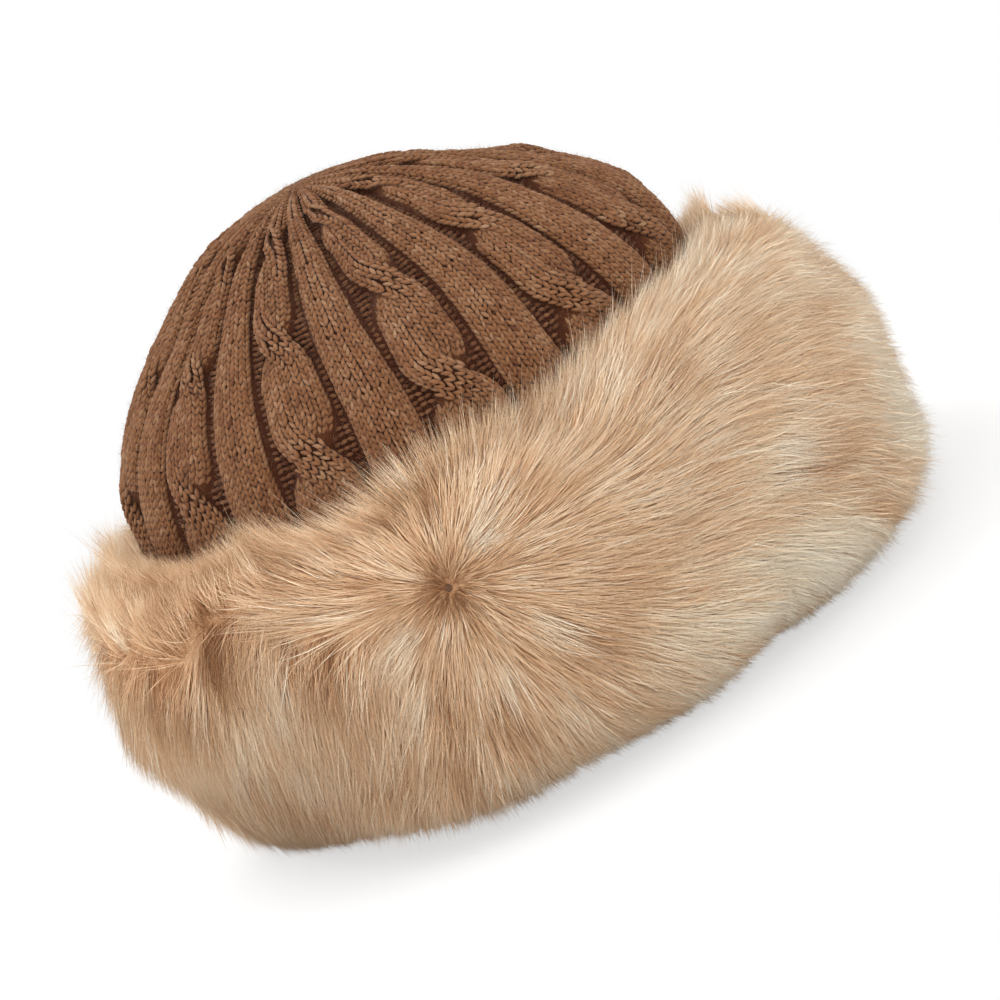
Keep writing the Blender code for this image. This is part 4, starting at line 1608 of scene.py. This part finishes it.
class HAT_OT_lining(bpy.types.Operator):
    """Sews the fleece lining from its gores, with flat seams between them."""

    bl_idname = "hat.lining"
    bl_label = "Fleece lining"

    # Points across a gore and down it, and the sizes of the fleece's lumps
    GORE_COLUMNS, GORE_ROWS = 46, 90
    LARGE_LUMP, SMALL_LUMP = 0.0045, 0.0022
    # Flat seams: how far above the hem they end, their lift from the fleece and how far their threads cross
    HEM_ROOM = 0.005
    SEAM_LIFT = 0.0006
    THREAD_CROSSING = 0.00022

    def execute(self, context):
        scene = context.scene
        crown, lining, colours = scene.hat_crown, scene.hat_lining, scene.hat_colours
        fleece = cloth_material("fleece", colours.fleece, 0.45, 0.0011, 0.0006)
        thread = thread_material("seam thread", colours.thread, 0.0006)
        outside = Meridian(crown, lining.outside)
        inside = Meridian(crown, lining.outside - lining.thickness)
        span = FULL_TURN / lining.gores
        for gore in range(lining.gores):
            sheets = []
            for line, nub in ((outside, 0.0), (inside, lining.nub)):
                alongs = np.linspace(line.from_radius(lining.top_radius), line.along[-1], self.GORE_ROWS)
                step, along = grid(np.linspace(0.0, 1.0, self.GORE_COLUMNS), alongs)
                room = np.arcsin(np.minimum(1.0, lining.gore_gap / 2 / line.at(along)[0]))
                turn = gore * span + room + (span - 2 * room) * step
                place, out, _, _ = line.axes(crown, along, turn)
                lumps = mottle(place, self.LARGE_LUMP, 5) + 0.6 * mottle(place, self.SMALL_LUMP, 6)
                sheets.append(place + (nub * lumps)[..., None] * out)
            name = f"lining_gore_{gore + 1}"
            mesh = swept_mesh(name, *sheets, False)
            obj = piece(name, mesh, fleece, "fleece", name)
        for gore in range(lining.gores):
            self.sew_flat_seam(crown, lining, inside, gore * span, f"lining_seam_{gore + 1}", thread)
        return {"FINISHED"}

    @staticmethod
    def surface(mesh):
        return sum(face.area for face in mesh.polygons)

    def sew_flat_seam(self, crown, lining, line, turn, name, thread):
        """Two threads that zigzag across the join of two gores."""
        start = line.from_radius(lining.seam_top)
        end = line.along[-1] - self.HEM_ROOM
        number = round((end - start) / lining.seam_stitch * 2)
        along = np.linspace(start, end, number + 1)
        paths = []
        for way in (-1.0, 1.0):
            swing = way * lining.seam_width / 2 * (1.0 - 2.0 * (np.arange(number + 1) % 2))
            fine = np.linspace(0.0, number, 3 * number + 1)
            steps = np.interp(fine, np.arange(number + 1), along)
            swings = np.interp(fine, np.arange(number + 1), swing)
            turns = turn + swings / line.at(steps)[0]
            place, out, _, _ = line.axes(crown, steps, turns)
            lift = self.SEAM_LIFT + self.THREAD_CROSSING * way * np.cos(fine * math.pi)
            paths.append((place - lift[:, None] * out, False))
        sewn(name, paths, lining.thread, thread, sides=6)


class HAT_OT_filling(bpy.types.Operator):
    """Makes what the fur hides: the wadding, its facing and the rings of sewing."""

    bl_idname = "hat.filling"
    bl_label = "Wadding and facing"

    # Steps round the hat, and points down the wadding and down the facing
    ROUND_STEPS = 180
    WADDING_STEPS = 26
    FACING_STEPS = 24
    # Rise of the wadding's back, and of the facing's outside and inside
    WADDING_BACK = 0.0018
    FACING_RISES = (0.0012, 0.0005)
    # Unevenness of the wadding, the facing's top and its room over the hem
    LOFT = 0.0004
    FACING_TOP = 0.0979
    FACING_ROOM = 0.0002

    def execute(self, context):
        scene = context.scene
        crown, lining, cuff, colours = scene.hat_crown, scene.hat_lining, scene.hat_cuff, scene.hat_colours
        turns = np.arange(self.ROUND_STEPS) * FULL_TURN / self.ROUND_STEPS
        self.fill(crown, colours, turns)
        self.face(crown, colours, turns)
        self.sew(crown, lining, cuff, colours)
        return {"FINISHED"}

    def fill(self, crown, colours, turns):
        """The wadding swells in front, with the loft of its fibres."""
        front = smooth_line(WADDING_PROFILE[::-1], self.WADDING_STEPS)
        ends = (WADDING_PROFILE[-1][1], WADDING_PROFILE[0][1])
        back = even_line([(self.WADDING_BACK, height) for height in ends], self.WADDING_STEPS)
        outer = sheet_round(crown, turns, front)
        outward = unit(outer * (1.0, 1.0, 0.0))
        outer = outer + (self.LOFT * (mottle(outer, 0.010, 8) - 0.6))[..., None] * outward
        mesh = swept_mesh("cuff_wadding", outer, sheet_round(crown, turns, back), True)
        finish = cloth_material("wadding", colours.wadding, 0.25, 0.0025, 0.0008)
        piece("cuff_wadding", mesh, finish, "wadding", "cuff_wadding")

    def face(self, crown, colours, turns):
        """The facing is a band of cloth round the crown, between knit and fur."""
        low, high = crown.hem_height + self.FACING_ROOM, self.FACING_TOP
        lines = (even_line(((rise, high), (rise, low)), self.FACING_STEPS) for rise in self.FACING_RISES)
        outer, inner = (sheet_round(crown, turns, line) for line in lines)
        mesh = swept_mesh("cuff_facing", outer, inner, True)
        finish = cloth_material("facing", colours.cloth, 0.3, 0.0007, 0.0003)
        obj = piece("cuff_facing", mesh, finish, "facing", "cuff_facing")

    def sew(self, crown, lining, cuff, colours):
        """Zigzag rings of thread: above the facing, and over the join of rim and lining."""
        thread = thread_material("sewing thread", colours.thread, 0.0006)
        fine = np.arange(cuff.stitches * 12) / 6.0
        turns = fine / (2 * cuff.stitches) * FULL_TURN
        wave = 2.0 / math.pi * np.arcsin(0.97 * np.cos(fine * math.pi))
        for name, rise, middle, reach in (
            ("cuff_top_stitching", 0.0008, 0.09965, 0.0010),
            ("cuff_rim_stitching", -0.00815, crown.hem_height, 0.0024),
        ):
            path = on_plan(crown, crown.radius + rise, turns, middle + reach * wave)
            sewn(name, [(path, True)], lining.thread, thread, sides=6)


class HAT_OT_fur(bpy.types.Operator):
    """Makes the fur cuff: its two strips, their tacks and side seams, and their hair."""

    bl_idname = "hat.fur"
    bl_label = "Fur cuff"

    # A strip: points along it and across it, and half the room at a side join
    STRIP_COLUMNS, STRIP_ROWS = 121, 64
    JOIN_ROOM = 0.0006
    # A tack: radius of its loop, its lift and half the thickness of its thread
    TACK_RADIUS = 0.0010
    TACK_LIFT = 0.0002
    TACK_THREAD = 0.0003
    # Steps of the skin round the cuff
    SKIN_COLUMNS = 320

    def execute(self, context):
        scene = context.scene
        crown, lining, cuff, colours = scene.hat_crown, scene.hat_lining, scene.hat_cuff, scene.hat_colours
        pelt = Pelt(crown, cuff)
        hide = ground_material("hide", fur_stops(colours))
        thread = thread_material("tack thread", colours.tack, 0.0006)
        for name, start in (("front", math.pi), ("back", 0.0)):
            self.lay_strip(pelt, name, start, hide)
            self.sew_tack(pelt, name, start, thread)
        for name, turn in (("right", 0.0), ("left", math.pi)):
            self.sew_side(crown, lining, name, turn, thread)
        self.grow_hair(scene, pelt, crown, cuff, colours)
        return {"FINISHED"}

    def lay_strip(self, pelt, name, start, hide):
        """A strip of hide, from one side join to the other."""
        room = self.JOIN_ROOM / pelt.round
        turns = np.linspace(start + room, start + math.pi - room, self.STRIP_COLUMNS)
        downs = np.linspace(0.0, pelt.end, self.STRIP_ROWS)
        outer, _, grown = pelt.coat(*grid(turns, downs))
        inner = sheet_round(pelt.crown, turns, even_line(BACK_PROFILE, len(downs)))
        mesh = swept_mesh(f"cuff_pelt_{name}", outer, inner, False)
        # Painted shade: the hide is a step darker than its fur, so that it shows as shade in the gaps between
        # strands
        tone = np.clip(grown["shade"] - 0.1, 0.0, 1.0)
        tone = np.concatenate((tone, np.full(inner.shape[:2], 0.4)), axis=1)
        add_attribute(mesh, "tone", "FLOAT", tone)
        piece(f"cuff_pelt_{name}", mesh, hide, "fur", f"cuff_fur_{name}")

    def sew_tack(self, pelt, name, start, thread):
        """A loop of thread at the bottom of the dimple, crossed by a stitch."""
        turn = np.array(start + pelt.cuff.tack_turn + pelt.cuff.whorl_right / pelt.round)
        place, out, right, up = pelt.axes(turn, np.array(pelt.tack_down - pelt.cuff.whorl_up))
        around = np.arange(24)[:, None] * FULL_TURN / 24
        middle = place + self.TACK_LIFT * out
        loop = middle + self.TACK_RADIUS * (np.cos(around) * right + np.sin(around) * up)
        reach = np.linspace(-1.0, 1.0, 9)[:, None]
        stitch = middle + self.TACK_RADIUS * reach * up + self.TACK_THREAD * (1.0 - reach**2) * out
        sewn(f"cuff_tack_{name}", [(loop, True), (stitch, False)], self.TACK_THREAD, thread)

    def sew_side(self, crown, lining, name, turn, thread):
        """The side join is sewn just in front of the wadding, in small loops over its edge."""
        line = smooth_line(JOIN_PROFILE, 160)
        wave = np.sin(np.arange(len(line)) * 1.6)
        path = on_plan(crown, crown.radius + line[:, 0], turn + 0.0002 * wave / crown.radius, line[:, 1])
        sewn(f"cuff_seam_{name}", [(path, False)], lining.thread, thread, sides=6)

    def grow_hair(self, scene, pelt, crown, cuff, colours):
        """Fine under-fur, longer guard hairs and loose wisps, in pieces by sector of the cuff."""
        rng = np.random.default_rng(3)
        locks = bpy.data.objects.new("locks", pelt_locks(pelt, rng))
        scene.collection.objects.link(locks)
        tree = fur_tree()
        stops = fur_stops(colours)
        labels = ("Density", "Segments", "Width", "Bend", "Stray", "Lock Pull", "Lock Tone", "Strand Tone")
        layers = {
            "underfur": (cuff.down, 1, cuff.down_width, 0.45, 0.18, 0.32, 0.130, 0.15),
            "guard_hair": (cuff.hairs, 2, cuff.hair_width, 0.55, 0.16, 0.28, 0.145, 0.30),
            "wisps": (cuff.wisps, 2, cuff.wisp_width, 0.30, 0.36, 0.10, 0.030, 0.20),
        }
        # Pieces of each layer, the root tint that paints shade deep in the fur, and how much of a strand it
        # reaches
        finishes = {
            "underfur": (8, (0.90, 0.78, 0.68), 0.45),
            "guard_hair": (4, (0.92, 0.82, 0.74), 0.40),
            "wisps": (2, (0.85, 0.78, 0.70), 0.40),
        }
        for order, (layer, values) in enumerate(layers.items()):
            sectors, root, reach = finishes[layer]
            fur = strand_material(layer.replace("_", " "), stops, root, reach)
            for sector in range(sectors):
                start, end = (FULL_TURN * edge / sectors for edge in (sector, sector + 1))
                skin = pelt_skin(pelt, layer, start, end, self.SKIN_COLUMNS // sectors)
                name = f"cuff_{layer}_{sector + 1}"
                inputs = {"Locks": locks, "Seed": 100 * order + sector, **dict(zip(labels, values))}
                mesh = grown_mesh(name, skin, tree, **strand_inputs(crown, fur, inputs))
                piece(name, mesh, fur, "fur")
        bpy.data.objects.remove(locks)


class HAT_PT_panel(bpy.types.Panel):
    """Lists the steps that dress the hat."""

    bl_idname = "HAT_PT_panel"
    bl_label = "Fur-cuffed hat"
    bl_space_type = "VIEW_3D"
    bl_region_type = "UI"
    bl_category = "Hat"

    def draw(self, context):
        for step in OPERATORS:
            self.layout.operator(step.bl_idname)
        for holder in SETTINGS:
            box = self.layout.box()
            group = getattr(context.scene, holder)
            for name in group.bl_rna.properties.keys():
                if name not in ("rna_type", "name"):
                    box.prop(group, name)


OPERATORS = (HAT_OT_stage, HAT_OT_crown, HAT_OT_lining, HAT_OT_filling, HAT_OT_fur)


def register():
    for holder, group in SETTINGS.items():
        bpy.utils.register_class(group)
        setattr(bpy.types.Scene, holder, bpy.props.PointerProperty(type=group))
    for made in (*OPERATORS, HAT_PT_panel):
        bpy.utils.register_class(made)


def unregister():
    for made in (HAT_PT_panel, *reversed(OPERATORS)):
        bpy.utils.unregister_class(made)
    for holder, group in SETTINGS.items():
        delattr(bpy.types.Scene, holder)
        bpy.utils.unregister_class(group)


def main():
    register()
    bpy.ops.hat.stage()
    bpy.ops.hat.crown()
    bpy.ops.hat.lining()
    bpy.ops.hat.filling()
    bpy.ops.hat.fur()


if __name__ == "__main__":
    main()
